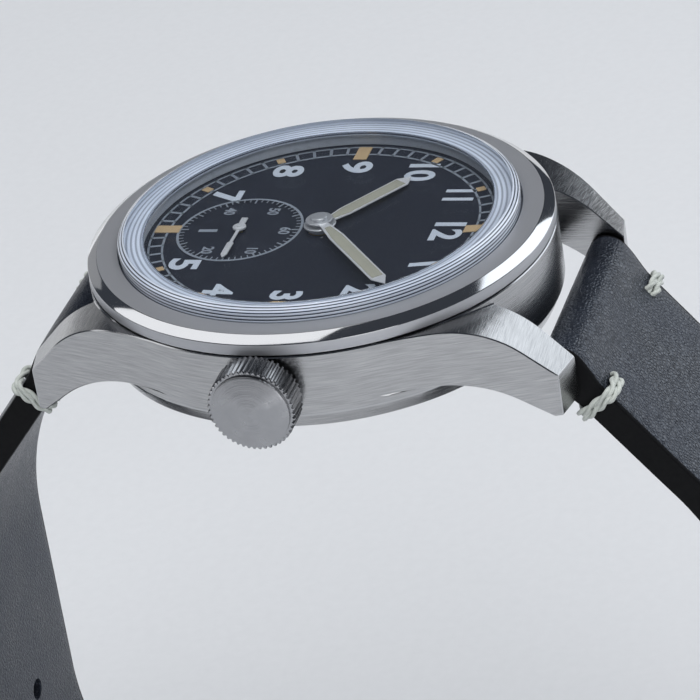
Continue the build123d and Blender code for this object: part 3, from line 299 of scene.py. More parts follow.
# Satin steel whose lines run in rings round the dial's axis
def ring_satin(name, shade, roughness, lines=9000.0, metallic=1.0):
    steel = Finish(name)
    spot = steel.spot()
    run = steel.node(
        "ShaderNodeCombineXYZ", None, steel.reach(spot) * lines, 0.0, spot.part("Z") * lines
    )
    grain = steel.noise(run, 1.0, 2.0)
    patches = steel.specks(700.0)
    colour = steel.blend(grain, tuple(part * 0.88 for part in shade), shade)
    rough = steel.spread(grain, 0.3, 0.7, roughness - 0.05, roughness + 0.06) + patches * 0.04
    return steel.surface(
        Base_Color=colour,
        Metallic=metallic,
        Roughness=rough,
        Normal=steel.relief(grain + patches * 0.4, 0.35, 0.00001),
    )


satin_steel = ring_satin("bezel_satin", (0.49, 0.5, 0.53), 0.4, 9000.0, 0.6)
add_piece("bezel_ring", bezel_work, [bright_steel, satin_steel], "case", ["bezel"])

# Crystal: one domed piece of mineral glass, hollow underneath, pressed in a gasket on the
# neck. Fine rings are ground on its upright wall and its shoulder, and the rest is polished.
# The rings' shade is painted as dark lines in the edge's colour.
dome_rise, dome_radius, dome_steps = 0.3, 14.9, 12
dome_apex, underside_apex, hollow_top = 9.95, 8.5, 8.2
glass_reach, hollow_reach, underside_reach = 15.45, 13.5, 13.4
shoulder_low, shoulder_reach, shoulder_high = 9.25, 15.32, 9.42
ground_reach, glass_edge_break = 13.45, 0.04


def glass_finish():
    glass = Finish("crystal_glass")
    shader = glass.node(
        "ShaderNodeBsdfPrincipled",
        None,
        Base_Color=(0.97, 0.985, 1.0),
        Roughness=glass.spread(glass.specks(300.0), 0.3, 0.8, 0.0, 0.004),
        IOR=1.52,
        Transmission_Weight=1.0,
    )
    clear = glass.node("ShaderNodeBsdfTransparent", None, Color=(0.95, 0.965, 0.98))
    path = glass.node("ShaderNodeLightPath")
    shadow = glass.larger(path.part("Is Shadow Ray"), path.part("Is Diffuse Ray"))
    mixed = glass.node("ShaderNodeMixShader", None, shadow, shader, clear)
    return glass.shown_by(mixed)


def ground_edge():
    edge = Finish("crystal_edge")
    spot = edge.spot()
    rings = edge.wave((spot.part("Z") - edge.reach(spot) * 0.75) * 22500.0)
    inside = edge.node("ShaderNodeNewGeometry").part("Backfacing")
    # Painted shade: the ground rings are darkened in the colour, half as much where the inside of
    # the glass is seen.
    ring_shade_painted = edge.spread(rings, 0.0, -0.6) * (1 - inside * 0.5)
    cloud = edge.specks(120.0)
    pale = edge.blend(cloud, (0.46, 0.52, 0.62), (0.8, 0.86, 0.97))
    return edge.surface(
        Base_Color=edge.blend(ring_shade_painted, pale, (0.02, 0.028, 0.05)),
        Roughness=edge.spread(rings, -1.0, 1.0, 0.3, 0.18),
        Coat_Weight=edge.spread(cloud, 0.3, 0.7, 0.6, 0.9),
        Normal=edge.relief(rings, 0.35, 0.00003),
    )


crystal_outline = [
    (hollow_reach, bezel_seat),
    (glass_reach, bezel_seat),
    (glass_reach, shoulder_low),
    (shoulder_reach, shoulder_high),
]
for step in range(dome_steps):
    reach = dome_radius * (1 - step / dome_steps)
    crystal_outline.append((reach, dome_apex - dome_rise * (reach / dome_radius) ** 2))
crystal_outline += [(0, dome_apex), (0, underside_apex)]
for step in range(1, dome_steps):
    reach = underside_reach * step / (dome_steps - 1)
    crystal_outline.append((reach, underside_apex - dome_rise * (reach / dome_radius) ** 2))
crystal_outline.append((hollow_reach, hollow_top))
crystal_work = turned(crystal_outline, 220, glass_edge_break, 22)
for face in crystal_work.faces:
    if face.calc_center_median().xy.length > ground_reach * mm and face.normal.z < 0.95:
        face.material_index = 1
glass = [glass_finish(), ground_edge()]
add_piece("crystal_dome", crystal_work, glass, "case", ["crystal"], smooth=60)

# Crystal gasket: a white nylon ring with fine moulded ribs, squeezed between the glass, the
# neck and the dial ring. It shows as thin rings through the crystal's edge. The shade between
# its ribs is painted as dark bands in its colour.
gasket_inner, gasket_step, gasket_outer = 13.98, 14.97, 15.42
gasket_low, gasket_ledge, gasket_top = 7.77, 7.86, 7.91


def nylon_finish():
    nylon = Finish("gasket_nylon")
    ribs = nylon.wave(nylon.reach(nylon.spot()) * 28000.0)
    # Painted shade: the dark bands between the ribs are in the colour, not cast by light.
    rib_shade_painted = nylon.blend(nylon.spread(ribs, -0.4, 0.6), (0.06, 0.07, 0.09), (0.72, 0.76, 0.82))
    return nylon.surface(
        Base_Color=rib_shade_painted,
        Roughness=nylon.spread(ribs, -1.0, 1.0, 0.5, 0.35),
        Normal=nylon.relief(ribs, 0.4, 0.00002),
    )


gasket_outline = [
    (gasket_inner, gasket_low),
    (gasket_step, gasket_low),
    (gasket_step, gasket_ledge),
    (gasket_outer, gasket_ledge),
    (gasket_outer, gasket_top),
    (gasket_inner, gasket_top),
]
gasket_work = turned(gasket_outline, 200)
add_piece("gasket_ring", gasket_work, [nylon_finish()], "case", ["crystal_gasket"])

# Dial: brass disc with a fine matte blue-black coat and a shallow sunk seconds dial that is
# turned in rings. A silvered ring stands on its edge and reaches up to the crystal.
dial_face = 6.9
seconds_place = (0, -6.49)
seconds_radius, seconds_rim_blend = 4.95, 0.02
flange_outer, flange_inner, flange_top_inner = 14.98, 13.85, 13.95
flange_low, flange_high, flange_edge_break = 6.92, 7.74, 0.03


def dial_finish():
    coat = Finish("dial_black")
    spot = coat.spot()
    along = spot.part("Y") - seconds_place[1] * mm
    reach = (spot.part("X") ** 2.0 + along**2.0) ** 0.5
    rings = coat.wave(reach * 42000.0)
    outer, inner = seconds_radius + seconds_rim_blend, seconds_radius - seconds_rim_blend
    inside = coat.spread(reach, outer * mm, inner * mm)
    grain = coat.specks(16000.0)
    cloud = coat.specks(300.0)
    colour = coat.blend(cloud, (0.008, 0.01, 0.017), (0.011, 0.0135, 0.022))
    height = grain * 0.6 + rings * inside * 0.5
    rough = coat.spread(grain, 0.3, 0.7, 0.42, 0.56)
    return coat.surface(
        Base_Color=colour,
        Roughness=rough,
        Specular_IOR_Level=0.35,
        Normal=coat.relief(height, 0.25, 0.00001),
    )


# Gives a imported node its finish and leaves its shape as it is
def dress(node, finish):
    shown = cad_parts[node]
    for place in shown.material_slots:
        place.link = "OBJECT"
        place.material = finish


def paint(name, shade, roughness=0.55, lumps=9000.0, gloss=0.5):
    coat = Finish(name)
    grain = coat.specks(lumps)
    colour = coat.blend(grain, tuple(part * 0.86 for part in shade), shade)
    rough = coat.spread(grain, 0.3, 0.7, roughness - 0.06, roughness + 0.06)
    return coat.surface(
        Base_Color=colour,
        Roughness=rough,
        Specular_IOR_Level=gloss,
        Normal=coat.relief(grain, 0.3, 0.00001),
    )


dress("dial", dial_finish())
flange_outline = [
    (flange_inner, flange_low),
    (flange_outer, flange_low),
    (flange_outer, flange_high),
    (flange_top_inner, flange_high),
]
flange_work = turned(flange_outline, 220, flange_edge_break)
ring_silver = paint("flange_silver", (0.6, 0.64, 0.7), 0.32, 1500.0)
add_piece("dial_ring", flange_work, [ring_silver], "case", ["dial_flange"])

# Dial printing: raised white ink for numerals, the minute track and the seconds track, and
# cream luminous paint for the quarter bars and hour dots.
ink_rise, marker_rise = 0.014, 0.05
track_inner, track_outer, track_line, minute_width = 12.12, 13.46, 0.18, 0.24
seconds_ring_inner, seconds_ring_outer = seconds_radius - 0.22, seconds_radius - 0.02
tick_end = seconds_radius - 0.2
long_tick, short_tick = (0.13, 0.6), (0.09, 0.38)
white_ink = paint("white_ink", (0.56, 0.61, 0.68))
grey_ink = paint("grey_ink", (0.26, 0.29, 0.33))
# Painted shade: the hands' cream is set darker and greyer than the paint itself, for the shade they
# lie in.
luminous = paint("luminous_cream", (0.36, 0.35, 0.28), 0.65)
aged_cream = paint("marker_cream", (0.5, 0.36, 0.2), 0.65)


def lifted(place, level):
    return Matrix.Translation((place[0] * mm, place[1] * mm, level * mm))


# A flat shape on the dial: one face of corners in millimetres, given its thickness
def printed(work, corners, place=(0, 0), turn=0.0, level=dial_face, rise=ink_rise):
    placed = lifted(place, level) @ Matrix.Rotation(-math.radians(turn), 4, "Z")
    verts = [work.verts.new(placed @ Vector((x * mm, y * mm, 0))) for x, y in corners]
    base = work.faces.new(verts)
    raised = bmesh.ops.extrude_face_region(work, geom=[base])
    tops = [item for item in raised["geom"] if isinstance(item, bmesh.types.BMVert)]
    bmesh.ops.translate(work, verts=tops, vec=(0, 0, rise * mm))


# A thin flat ring on the dial
def printed_ring(work, inner, outer, place=(0, 0), steps=160):
    low, high = dial_face, dial_face + ink_rise
    known = set(work.verts)
    spin_outline(work, [(inner, low), (outer, low), (outer, high), (inner, high)], steps)
    fresh = [vert for vert in work.verts if vert not in known]
    bmesh.ops.translate(work, verts=fresh, vec=(place[0] * mm, place[1] * mm, 0))


def finish_print(name, work, finish):
    bmesh.ops.remove_doubles(work, verts=work.verts, dist=0.0005 * mm)
    bmesh.ops.recalc_face_normals(work, faces=work.faces)
    add_piece(name, work, [finish], "case")


def bar_corners(width, low, high):
    half = width / 2
    return [(-half, low), (half, low), (half, high), (-half, high)]


tracks = bmesh.new()
printed_ring(tracks, track_inner, track_inner + track_line)
printed_ring(tracks, track_outer - track_line, track_outer)
for minute in range(60):
    if minute % 15:
        printed(tracks, bar_corners(minute_width, track_inner, track_outer), turn=minute * 6)
finish_print("dial_tracks", tracks, grey_ink)
seconds_track = bmesh.new()
printed_ring(seconds_track, seconds_ring_inner, seconds_ring_outer, seconds_place, 120)
for second in range(60):
    width, length = short_tick if second % 5 else long_tick
    corners = bar_corners(width, tick_end - length, tick_end)
    printed(seconds_track, corners, seconds_place, second * 6)
finish_print("seconds_track", seconds_track, grey_ink)

quarter_bar, hour_dot = bar_corners(1.08, 11.3, 13.34), bar_corners(0.62, 12.42, 13.16)
markers = bmesh.new()
for hour in range(12):
    printed(markers, hour_dot if hour % 3 else quarter_bar, turn=hour * 30, rise=marker_rise)
finish_print("hour_markers", markers, aged_cream)

numeral_height, numeral_weight, size_for_height = 2.4, 0.1, 1.37
numeral_reach, usual_reach = {12: 9.9, 3: 10.2, 9: 10.05, 7: 10.7}, 10.9
numeral_width, usual_width = {10: 1.05, 11: 0.85, 12: 1.05}, 1.17
small_height, small_weight, small_width = 0.9, 0.03, 0.9
small_reach, sunk_face = seconds_radius - 1.42, dial_face - 0.1


# Characters from the plain built-in face, made a mesh before they are placed
def numeral(work, words, height, place, width, weight, level):
    letters = bpy.data.curves.new("numeral", "FONT")
    letters.body = words
    letters.align_x = "CENTER"
    letters.align_y = "CENTER"
    letters.size = height * size_for_height
    letters.space_character = 0.95
    letters.offset = weight
    letters.extrude = ink_rise / 2
    letters.resolution_u = 4
    holder = bpy.data.objects.new("numeral", letters)
    bpy.context.collection.objects.link(holder)
    bpy.context.view_layer.update()
    graph = bpy.context.evaluated_depsgraph_get()
    shape = bpy.data.meshes.new_from_object(holder.evaluated_get(graph))
    bpy.data.objects.remove(holder)
    lift = lifted(place, level + ink_rise / 2)
    shape.transform(lift @ Matrix.Diagonal((width * mm, mm, mm, 1)))
    work.from_mesh(shape)
    bpy.data.meshes.remove(shape)


numerals = bmesh.new()
for hour in range(1, 13):
    if hour != 6:
        reach, width = numeral_reach.get(hour, usual_reach), numeral_width.get(hour, usual_width)
        turn = math.radians(hour * 30)
        place = (reach * math.sin(turn), reach * math.cos(turn))
        numeral(numerals, str(hour), numeral_height, place, width, numeral_weight, dial_face)
small_numerals = bmesh.new()
for step in range(6):
    turn = math.radians(step * 60)
    place = (small_reach * math.sin(turn), seconds_place[1] + small_reach * math.cos(turn))
    words = str(step * 10 or 60)
    if step != 3:
        numeral(small_numerals, words, small_height, place, small_width, small_weight, sunk_face)
thirty_bar = bar_corners(0.4, 1.85, 3.35)
printed(small_numerals, thirty_bar, seconds_place, 180.0, sunk_face)
finish_print("dial_numerals", numerals, white_ink)
finish_print("seconds_numerals", small_numerals, grey_ink)

# Hands: stamped steel with polished edges and a slot filled with cream luminous paint. The
# hour and minute hands taper to a narrow neck at the hub, and the seconds hand is bare steel.
hand_rim, blade_rise, paint_rise, hub_rise = 0.16, 0.11, 0.03, 0.17
hand_start, hand_neck, collar_radius, stud_share = 0.6, 0.8, 0.98, 0.6
blade_edge_break, hub_edge_break, seconds_edge_break = 0.045, 0.07, 0.02
# Shares of a hand's length: where its blade and its slot of paint widen and end
neck_end, blade_wide, blade_end = 0.1, 0.27, 0.9
slot_start, slot_wide, slot_end = 0.13, 0.275, 0.885
hand_steel = polished_steel("hand_steel", (0.8, 0.805, 0.82), 0.34, 0.45)
hub_steel = polished_steel("hub_steel", (0.66, 0.67, 0.69), 0.28, 0.65)


# Adds one bmesh to another and frees it
def join(work, extra):
    carried = bpy.data.meshes.new("carried")
    extra.to_mesh(carried)
    extra.free()
    work.from_mesh(carried)
    bpy.data.meshes.remove(carried)


def add_disc(work, radius, low, high, place=(0, 0)):
    bmesh.ops.create_cone(
        work,
        cap_ends=True,
        segments=40,
        radius1=radius * mm,
        radius2=radius * mm,
        depth=(high - low) * mm,
        matrix=lifted(place, (low + high) / 2),
    )


# A closed outline from its right side. A corner on the middle line stays single
def both_sides(right):
    return right + [(-x, y) for x, y in reversed(right) if x]


# One plate whose slot of paint stops short of its solid point, on a stepped hub
def add_hand(name, body, node, length, width, angle, level, hub, top, collar):
    half, neck_half = width / 2, hand_neck / 2
    work = bmesh.new()
    side = [
        (neck_half, hand_start),
        (neck_half, length * neck_end),
        (half, length * blade_wide),
        (half, length * blade_end),
        (0, length),
    ]
    printed(work, both_sides(side), level=level, rise=blade_rise)
    bmesh.ops.recalc_face_normals(work, faces=work.faces)
    break_edges(work, blade_edge_break, 30, 2)
    filling = bmesh.new()
    slot = [
        (neck_half - hand_rim, length * slot_start),
        (half - hand_rim, length * slot_wide),
        (half - hand_rim, length * slot_end),
    ]
    printed(filling, both_sides(slot), level=level + blade_rise, rise=paint_rise)
    bmesh.ops.recalc_face_normals(filling, faces=filling.faces)
    for face in filling.faces:
        face.material_index = 1
    join(work, filling)
    hub_work = bmesh.new()
    discs = (
        (level - collar, level, collar_radius),
        (level, level + hub_rise, hub),
        (level + hub_rise, top, hub * stud_share),
    )
    for start, stop, radius in discs:
        if stop > start:
            add_disc(hub_work, radius, start, stop)
    break_edges(hub_work, hub_edge_break, 30, 3)
    for face in hub_work.faces:
        face.material_index = 2
    join(work, hub_work)
    turn = Matrix.Rotation(-math.radians(angle), 4, "Z")
    bmesh.ops.transform(work, matrix=turn, verts=work.verts)
    add_piece(name, work, [hand_steel, luminous, hub_steel], body, [node])


hour_sizes = {"length": 9.2, "width": 1.35, "hub": 1.25, "level": 7.3, "top": 7.6, "collar": 0.34}
add_hand("hour_blade", "hours", "hour_hand", angle=305.0, **hour_sizes)
minute_sizes = {"length": 12.6, "width": 1.2, "hub": 1.05, "level": 7.68, "top": 8.05, "collar": 0}
add_hand("minute_blade", "minutes", "minute_hand", angle=51.5, **minute_sizes)

seconds_low, seconds_thick, seconds_hub_top, seconds_stud_top = 7.03, 0.1, 7.2, 7.32
seconds_hub, seconds_stud, seconds_turn = 0.52, 0.2, 90.0
wide, narrow, seconds_tip = 0.25, 0.12, 4.7
tail_side = [(wide, -1.5), (wide, -0.7), (narrow, -0.65)]
blade_side = [(narrow, 2.35), (wide, 2.4), (wide, 4.2), (0, seconds_tip)]
seconds_shape = both_sides(tail_side + blade_side)
seconds_work = bmesh.new()
printed(seconds_work, seconds_shape, seconds_place, seconds_turn, seconds_low, seconds_thick)
add_disc(seconds_work, seconds_hub, seconds_low, seconds_hub_top, seconds_place)
add_disc(seconds_work, seconds_stud, seconds_hub_top, seconds_stud_top, seconds_place)
bmesh.ops.recalc_face_normals(seconds_work, faces=seconds_work.faces)
break_edges(seconds_work, seconds_edge_break, 30, 2)
add_piece("seconds_blade", seconds_work, [hand_steel], "seconds", ["seconds_hand"])

# Crown: turned steel, its grip cut in forty-eight ribs with bevelled ends, and a satin cone
# on its outer face. A thin rim stands between the two.
crown_height = 4.25
crown_grip_start, crown_grip_end = 18.35, 20.75
rib_count = 48
rib_reach = (3.15, 3.3, 3.3, 3.15)
# Height along the grip, and the share of the ribs' reach there
grip_stations = ((0.0, 0.93), (0.22, 1.0), (2.3, 1.0), (2.4, 0.975), (2.4, 0.85))
rim_reach, rim_height, cone_reach, cone_start, cone_tip = 2.95, 0.2, 2.8, 0.24, 0.71


# From a piece turned on Z to one turned on the crown's line
def on_crown_line(start):
    lift = Matrix.Translation((start * mm, 0, crown_height * mm))
    return lift @ Matrix.Rotation(math.pi / 2, 4, "Y")


def crown_finish():
    steel = Finish("crown_steel")
    spot = steel.spot()
    across, upward = spot.part("Y"), spot.part("Z") - crown_height * mm
    reach = (across**2.0 + upward**2.0) ** 0.5
    run = steel.node("ShaderNodeCombineXYZ", None, reach * 60000.0, 0.0, 0.0)
    grain = steel.noise(run, 1.0, 1.0)
    patches = steel.specks(900.0)
    cone_from, cone_full = crown_grip_end + 0.16, crown_grip_end + 0.22
    on_face = steel.spread(spot.part("X"), cone_from * mm, cone_full * mm)
    swing = (grain - 0.5) * on_face * 2.3
    outward = steel.node("ShaderNodeCombineXYZ", None, 0.0, across * swing, upward * swing)
    inverse = (reach + 0.00001) ** -1.0
    leaning = steel.node("ShaderNodeVectorMath", {"operation": "SCALE"}, outward, Scale=inverse)
    turned_round = steel.node(
        "ShaderNodeVectorTransform",
        {"vector_type": "VECTOR", "convert_from": "OBJECT", "convert_to": "WORLD"},
        leaning,
    )
    facing = steel.node("ShaderNodeNewGeometry").part("Normal")
    tilted = steel.node("ShaderNodeVectorMath", {"operation": "ADD"}, facing, turned_round)
    # Painted shade: the crown's steel colour is set darker than the watch's other steel, standing
    # in for the dimmer light on it.
    return steel.surface(
        Base_Color=steel.blend(patches, (0.32, 0.325, 0.34), (0.42, 0.425, 0.44)),
        Metallic=1.0,
        Roughness=steel.spread(patches, 0.3, 0.7, 0.2, 0.28),
        Normal=steel.node("ShaderNodeVectorMath", {"operation": "NORMALIZE"}, tilted),
    )


crown_work = bmesh.new()
around = rib_count * len(rib_reach)
verts = bmesh.ops.create_circle(crown_work, segments=around, radius=mm)["verts"]
for order, vert in enumerate(verts):
    vert.co *= rib_reach[order % len(rib_reach)]
edges = bottom_edges = list(crown_work.edges)
height, scale = grip_stations[0]
bmesh.ops.scale(crown_work, vec=(scale, scale, 1), verts=verts)
for next_height, next_scale in grip_stations[1:]:
    grown = bmesh.ops.extrude_edge_only(crown_work, edges=edges)["geom"]
    verts = [item for item in grown if isinstance(item, bmesh.types.BMVert)]
    edges = [item for item in grown if isinstance(item, bmesh.types.BMEdge)]
    factor = next_scale / scale
    bmesh.ops.scale(crown_work, vec=(factor, factor, 1), verts=verts)
    bmesh.ops.translate(crown_work, vec=(0, 0, (next_height - height) * mm), verts=verts)
    height, scale = next_height, next_scale
bmesh.ops.edgeloop_fill(crown_work, edges=edges)
bmesh.ops.edgeloop_fill(crown_work, edges=bottom_edges)
bmesh.ops.recalc_face_normals(crown_work, faces=crown_work.faces)
bmesh.ops.transform(crown_work, matrix=on_crown_line(crown_grip_start), verts=crown_work.verts)
face_outline = [(0, 0), (rim_reach, 0), (rim_reach, rim_height), (cone_reach, cone_start)]
face_work = turned(face_outline + [(0, cone_tip)], 120, 0.04)
bmesh.ops.transform(face_work, matrix=on_crown_line(crown_grip_end), verts=face_work.verts)
join(crown_work, face_work)
turned_steel = [crown_finish()]
add_piece("crown_grip", crown_work, turned_steel, "crown", ["crown"], smooth=20)

# Strap: two halves of black leather, each folded round its spring bar and glued back, with
# painted cut edges. The short half carries the buckle and the long half the row of holes.
strap_half, strap_end_half = 8.8, 7.9
thick_start, thick_end, edge_crowning, cut_corner = 2.6, 2.2, 0.06, 0.14
fold_round, fold_settle, end_settle = 1.8, 3.4, 2.6
narrow_from, narrow_over = -8.0, 42.0
blank_step, fine_step, fine_span = 0.55, 0.12, 1.2
bar_reach, bar_height = 20.0, 0.8
fall_turn = math.radians(51.0)
fall_run, upper_bend, drop_run, lower_bend = 13.0, 22.0, 16.0, 24.0


# A point on the leather's middle line: distance outward, height, and heading below level
def strap_place(station):
    fall_reach = bar_reach + fall_run * math.cos(fall_turn)
    fall_low = bar_height - fall_run * math.sin(fall_turn)
    upper_reach = fall_reach - upper_bend * math.sin(fall_turn)
    upper_low = fall_low - upper_bend * math.cos(fall_turn)
    if station <= fall_run:
        left = fall_run - station
        reach = fall_reach - left * math.cos(fall_turn)
        return reach, fall_low + left * math.sin(fall_turn), fall_turn
    station -= fall_run
    if station <= upper_bend * (math.pi / 2 - fall_turn):
        turn = fall_turn + station / upper_bend
        reach = upper_reach + upper_bend * math.sin(turn)
        return reach, upper_low + upper_bend * math.cos(turn), turn
    station -= upper_bend * (math.pi / 2 - fall_turn)
    if station <= drop_run:
        return upper_reach + upper_bend, upper_low - station, math.pi / 2
    station -= drop_run
    turn = math.pi / 2 + min(station, lower_bend * math.pi / 2) / lower_bend
    reach = upper_reach + upper_bend - lower_bend + lower_bend * math.sin(turn)
    level = upper_low - drop_run + lower_bend * math.cos(turn)
    return reach - max(station - lower_bend * math.pi / 2, 0), level, turn


def leather_finish():
    hide = Finish("strap_leather")
    warp = hide.specks(2500.0) * 0.0001
    moved = hide.node(
        "ShaderNodeVectorMath",
        {"operation": "ADD"},
        hide.place(),
        hide.node("ShaderNodeCombineXYZ", None, warp, warp, warp),
    )
    to_edge = {"feature": "DISTANCE_TO_EDGE"}
    cells = hide.node("ShaderNodeTexVoronoi", to_edge, Vector=moved, Scale=3300.0)
    creases = hide.spread(cells, 0.0, 0.26)
    pores = hide.specks(7000.0, 3.0, 0.6)
    cloud = hide.specks(210.0, 3.0)
    worn = hide.spread(cloud, 0.35, 0.7)
    return hide.surface(
        Base_Color=hide.blend(worn, (0.006, 0.0075, 0.012), (0.013, 0.016, 0.025)),
        Roughness=hide.spread(cloud, 0.3, 0.7, 0.32, 0.42) - creases * 0.06,
        IOR=1.6,
        Specular_IOR_Level=0.6,
        Specular_Tint=(0.76, 0.85, 1.0),
        Normal=hide.relief(creases + pores * 0.25, 0.7, 0.00006),
    )


leather = leather_finish()
edge_paint = paint("strap_edge_paint", (0.003, 0.0032, 0.004), 0.6, 3000.0, 0.15)


def block(size):
    work = bmesh.new()
    bmesh.ops.create_cube(work, size=1.0)
    bmesh.ops.scale(work, vec=size, verts=work.verts)
    return work


def edges_along(work, axis):
    return [edge for edge in work.edges if abs((edge.verts[0].co - edge.verts[1].co)[axis]) > 1]


# Leather laid flat, in millimetres: X across in shares of the half width, Y along from the
# fold, and Z through it in shares of the half thickness. Its ends are divided more finely
def strap_blank(start, length):
    work = block((2.0, length - start, 2.0))
    bmesh.ops.translate(work, vec=(0, (length + start) / 2, 0), verts=work.verts)
    bevel(work, edges_along(work, 1), cut_corner, 4)
    bmesh.ops.subdivide_edges(work, edges=edges_along(work, 0), cuts=9, use_grid_fill=True)
    station = start + blank_step * 0.2
    while station < length - 0.01:
        whole = work.verts[:] + work.edges[:] + work.faces[:]
        bmesh.ops.bisect_plane(work, geom=whole, plane_co=(0, station, 0), plane_no=(0, 1, 0))
        near_end = min(station - start, length - station)
        station += fine_step if near_end < fine_span else blank_step
    for face in work.faces:
        if abs(face.normal.x) > 0.8 or abs(face.normal.y) > 0.8:
            face.material_index = 1
    return work


def eased(share):
    share = min(max(share, 0.0), 1.0)
    return share * share * (3 - 2 * share)


def round_height(radius, past):
    return math.sqrt(max(radius**2 - past**2, 0.0))


# Bends the blank to the wrist's curve, rounds its fold and its end, and narrows it downward
def bend_strap(work, side, length, end_round, tail):
    for vert in work.verts:
        station = vert.co.y
        on_line = max(station, 0)
        half_thick = (thick_start + on_line / length * (thick_end - thick_start)) / 2
        if station < fold_settle:
            settle = eased(station / fold_settle)
            fold = round_height(fold_round, min(station, 0))
            half_thick = fold * (1 - settle) + half_thick * settle
        if end_round and station > length - end_settle:
            near = eased((station - length + end_settle) / end_settle)
            fold = round_height(end_round, max(station - length, 0.0))
            half_thick = half_thick * (1 - near) + fold * near
        if end_round:
            on_line = min(on_line, length)
        reach, level, heading = strap_place(on_line)
        reach += (station - on_line) * math.cos(heading)
        level -= (station - on_line) * math.sin(heading)
        narrowing = min(max((narrow_from - level) / narrow_over, 0.0), 1.0)
        half_width = strap_half + (strap_end_half - strap_half) * narrowing
        if tail and station > length - tail:
            half_width -= tail - round_height(tail, station - (length - tail))
        offset = vert.co.z * half_thick * (1.0 - edge_crowning * abs(vert.co.x) ** 4)
        out = side * (reach + offset * math.sin(heading))
        vert.co = Vector((vert.co.x * half_width, out, level + offset * math.cos(heading)))
    bmesh.ops.scale(work, vec=(mm, mm, mm), verts=work.verts)
    bmesh.ops.recalc_face_normals(work, faces=work.faces)


def add_strap(name, body, node, side, length, end_round, tail):
    work = strap_blank(-fold_round, length + end_round)
    bend_strap(work, side, length, end_round, tail)
    finishes = [leather, edge_paint]
    return add_piece(name, work, finishes, body, [node], smooth=60)


short_length, long_length, bar_fold, tail_round = 64.0, 105.0, 1.6, 5.0
short_ends, long_ends = (short_length, bar_fold, 0.0), (long_length, 0.0, tail_round)
short_half = add_strap("strap_short_half", "strap_short", "strap_12", 1, *short_ends)
long_half = add_strap("strap_long_half", "strap_long", "strap_6", -1, *long_ends)


# Cuts shapes out of a finished piece and keeps the result as its mesh
def cut_from(piece, cutter_work):
    cutter_mesh = bpy.data.meshes.new("cutter")
    bmesh.ops.recalc_face_normals(cutter_work, faces=cutter_work.faces)
    cutter_work.to_mesh(cutter_mesh)
    cutter_work.free()
    cutter = bpy.data.objects.new("cutter", cutter_mesh)
    bpy.context.collection.objects.link(cutter)
    shading = piece.modifiers["even_shading"]
    shading.show_viewport = False
    cutting = piece.modifiers.new("cut", "BOOLEAN")
    cutting.operation = "DIFFERENCE"
    cutting.solver = "EXACT"
    cutting.object = cutter
    bpy.context.view_layer.update()
    graph = bpy.context.evaluated_depsgraph_get()
    cut_mesh = bpy.data.meshes.new_from_object(piece.evaluated_get(graph))
    piece.modifiers.remove(cutting)
    old = piece.data
    piece.data = cut_mesh
    bpy.data.meshes.remove(old)
    bpy.data.objects.remove(cutter)
    bpy.data.meshes.remove(cutter_mesh)
    shading.show_viewport = True


# Where the strap lies at a station: X across, Y along the leather, Z outward
def strap_matrix(station, side):
    reach, level, heading = strap_place(station)
    along = Vector((0, side * math.cos(heading), -math.sin(heading)))
    outward = Vector((0, side * math.sin(heading), math.cos(heading)))
    across = along.cross(outward)
    turn = Matrix((across, along, outward)).transposed().to_4x4()
    return Matrix.Translation((0, side * reach * mm, level * mm)) @ turn


hole_count, last_hole, hole_pitch, hole_radius, hole_depth = 7, 25.0, 6.5, 0.9, 6.0
hole_work = bmesh.new()
for hole in range(hole_count):
    spot = strap_matrix(long_length - last_hole - hole * hole_pitch, -1)
    bmesh.ops.create_cone(
        hole_work,
        cap_ends=True,
        segments=24,
        radius1=hole_radius * mm,
        radius2=hole_radius * mm,
        depth=hole_depth * mm,
        matrix=spot,
    )
cut_from(long_half, hole_work)
slot_width, slot_length, slot_depth = 2.4, 6.4, 12
slot_work = block((slot_width * mm, slot_length * mm, slot_depth * mm))
bmesh.ops.transform(slot_work, matrix=strap_matrix(short_length, 1), verts=slot_work.verts)
cut_from(short_half, slot_work)

# Bar stitches: two turns of twisted cream thread, stiff with wax, drawn round each edge of
# the leather just beyond the spring bars.
stitch_station, stitch_outer, stitch_half_thick = 3.7, 9.08, 1.6
thread_steps, thread_plies, thread_corner = 132, 2, 0.55
ply_radius, ply_swing = 0.18, 0.153
# Each turn's place along the strap, inner reach, lean, number of twists and first twist
thread_turns = ((-0.27, 6.4, 0.03, 4, 0.0), (0.25, 6.5, -0.03, 5, 1.3))


def thread_finish():
    thread = Finish("waxed_thread")
    fibre = thread.specks(6000.0, 3.0, 0.6)
    stain = thread.specks(1300.0)
    colour = thread.blend(stain, (0.4, 0.43, 0.4), (0.66, 0.69, 0.65))
    rough = thread.spread(fibre, 0.3, 0.7, 0.5, 0.68)
    return thread.surface(
        Base_Color=colour,
        Roughness=rough,
        Sheen_Weight=0.2,
        Normal=thread.relief(fibre, 0.5, 0.00003),
    )


thread = thread_finish()


# The line of one turn, a rounded rectangle: points, each with the way the thread runs there
def thread_line(width, height):
    straight_x, straight_z = 2 * (width - thread_corner), 2 * (height - thread_corner)
    arc = thread_corner * math.pi / 2
    whole = 2 * (straight_x + straight_z) + 4 * arc
    legs = (
        (straight_x, (1, 0), (-1, 1)),
        (straight_z, (0, -1), (1, 1)),
        (straight_x, (-1, 0), (1, -1)),
        (straight_z, (0, 1), (-1, -1)),
    )
    line = []
    for step in range(thread_steps):
        left = whole * step / thread_steps
        for length, way, start in legs:
            x = start[0] * (width - thread_corner * abs(way[0]))
            z = start[1] * (height - thread_corner * abs(way[1]))
            if left < length:
                line.append(((x + way[0] * left, z + way[1] * left), way))
                break
            left -= length
            if left < arc:
                turn = left / thread_corner
                inward = (way[1], -way[0])
                ahead = length + thread_corner * math.sin(turn)
                aside = thread_corner * (1 - math.cos(turn))
                x += way[0] * ahead + inward[0] * aside
                z += way[1] * ahead + inward[1] * aside
                bent = Vector(way) * math.cos(turn) + Vector(inward) * math.sin(turn)
                line.append(((x, z), bent))
                break
            left -= arc
    return line


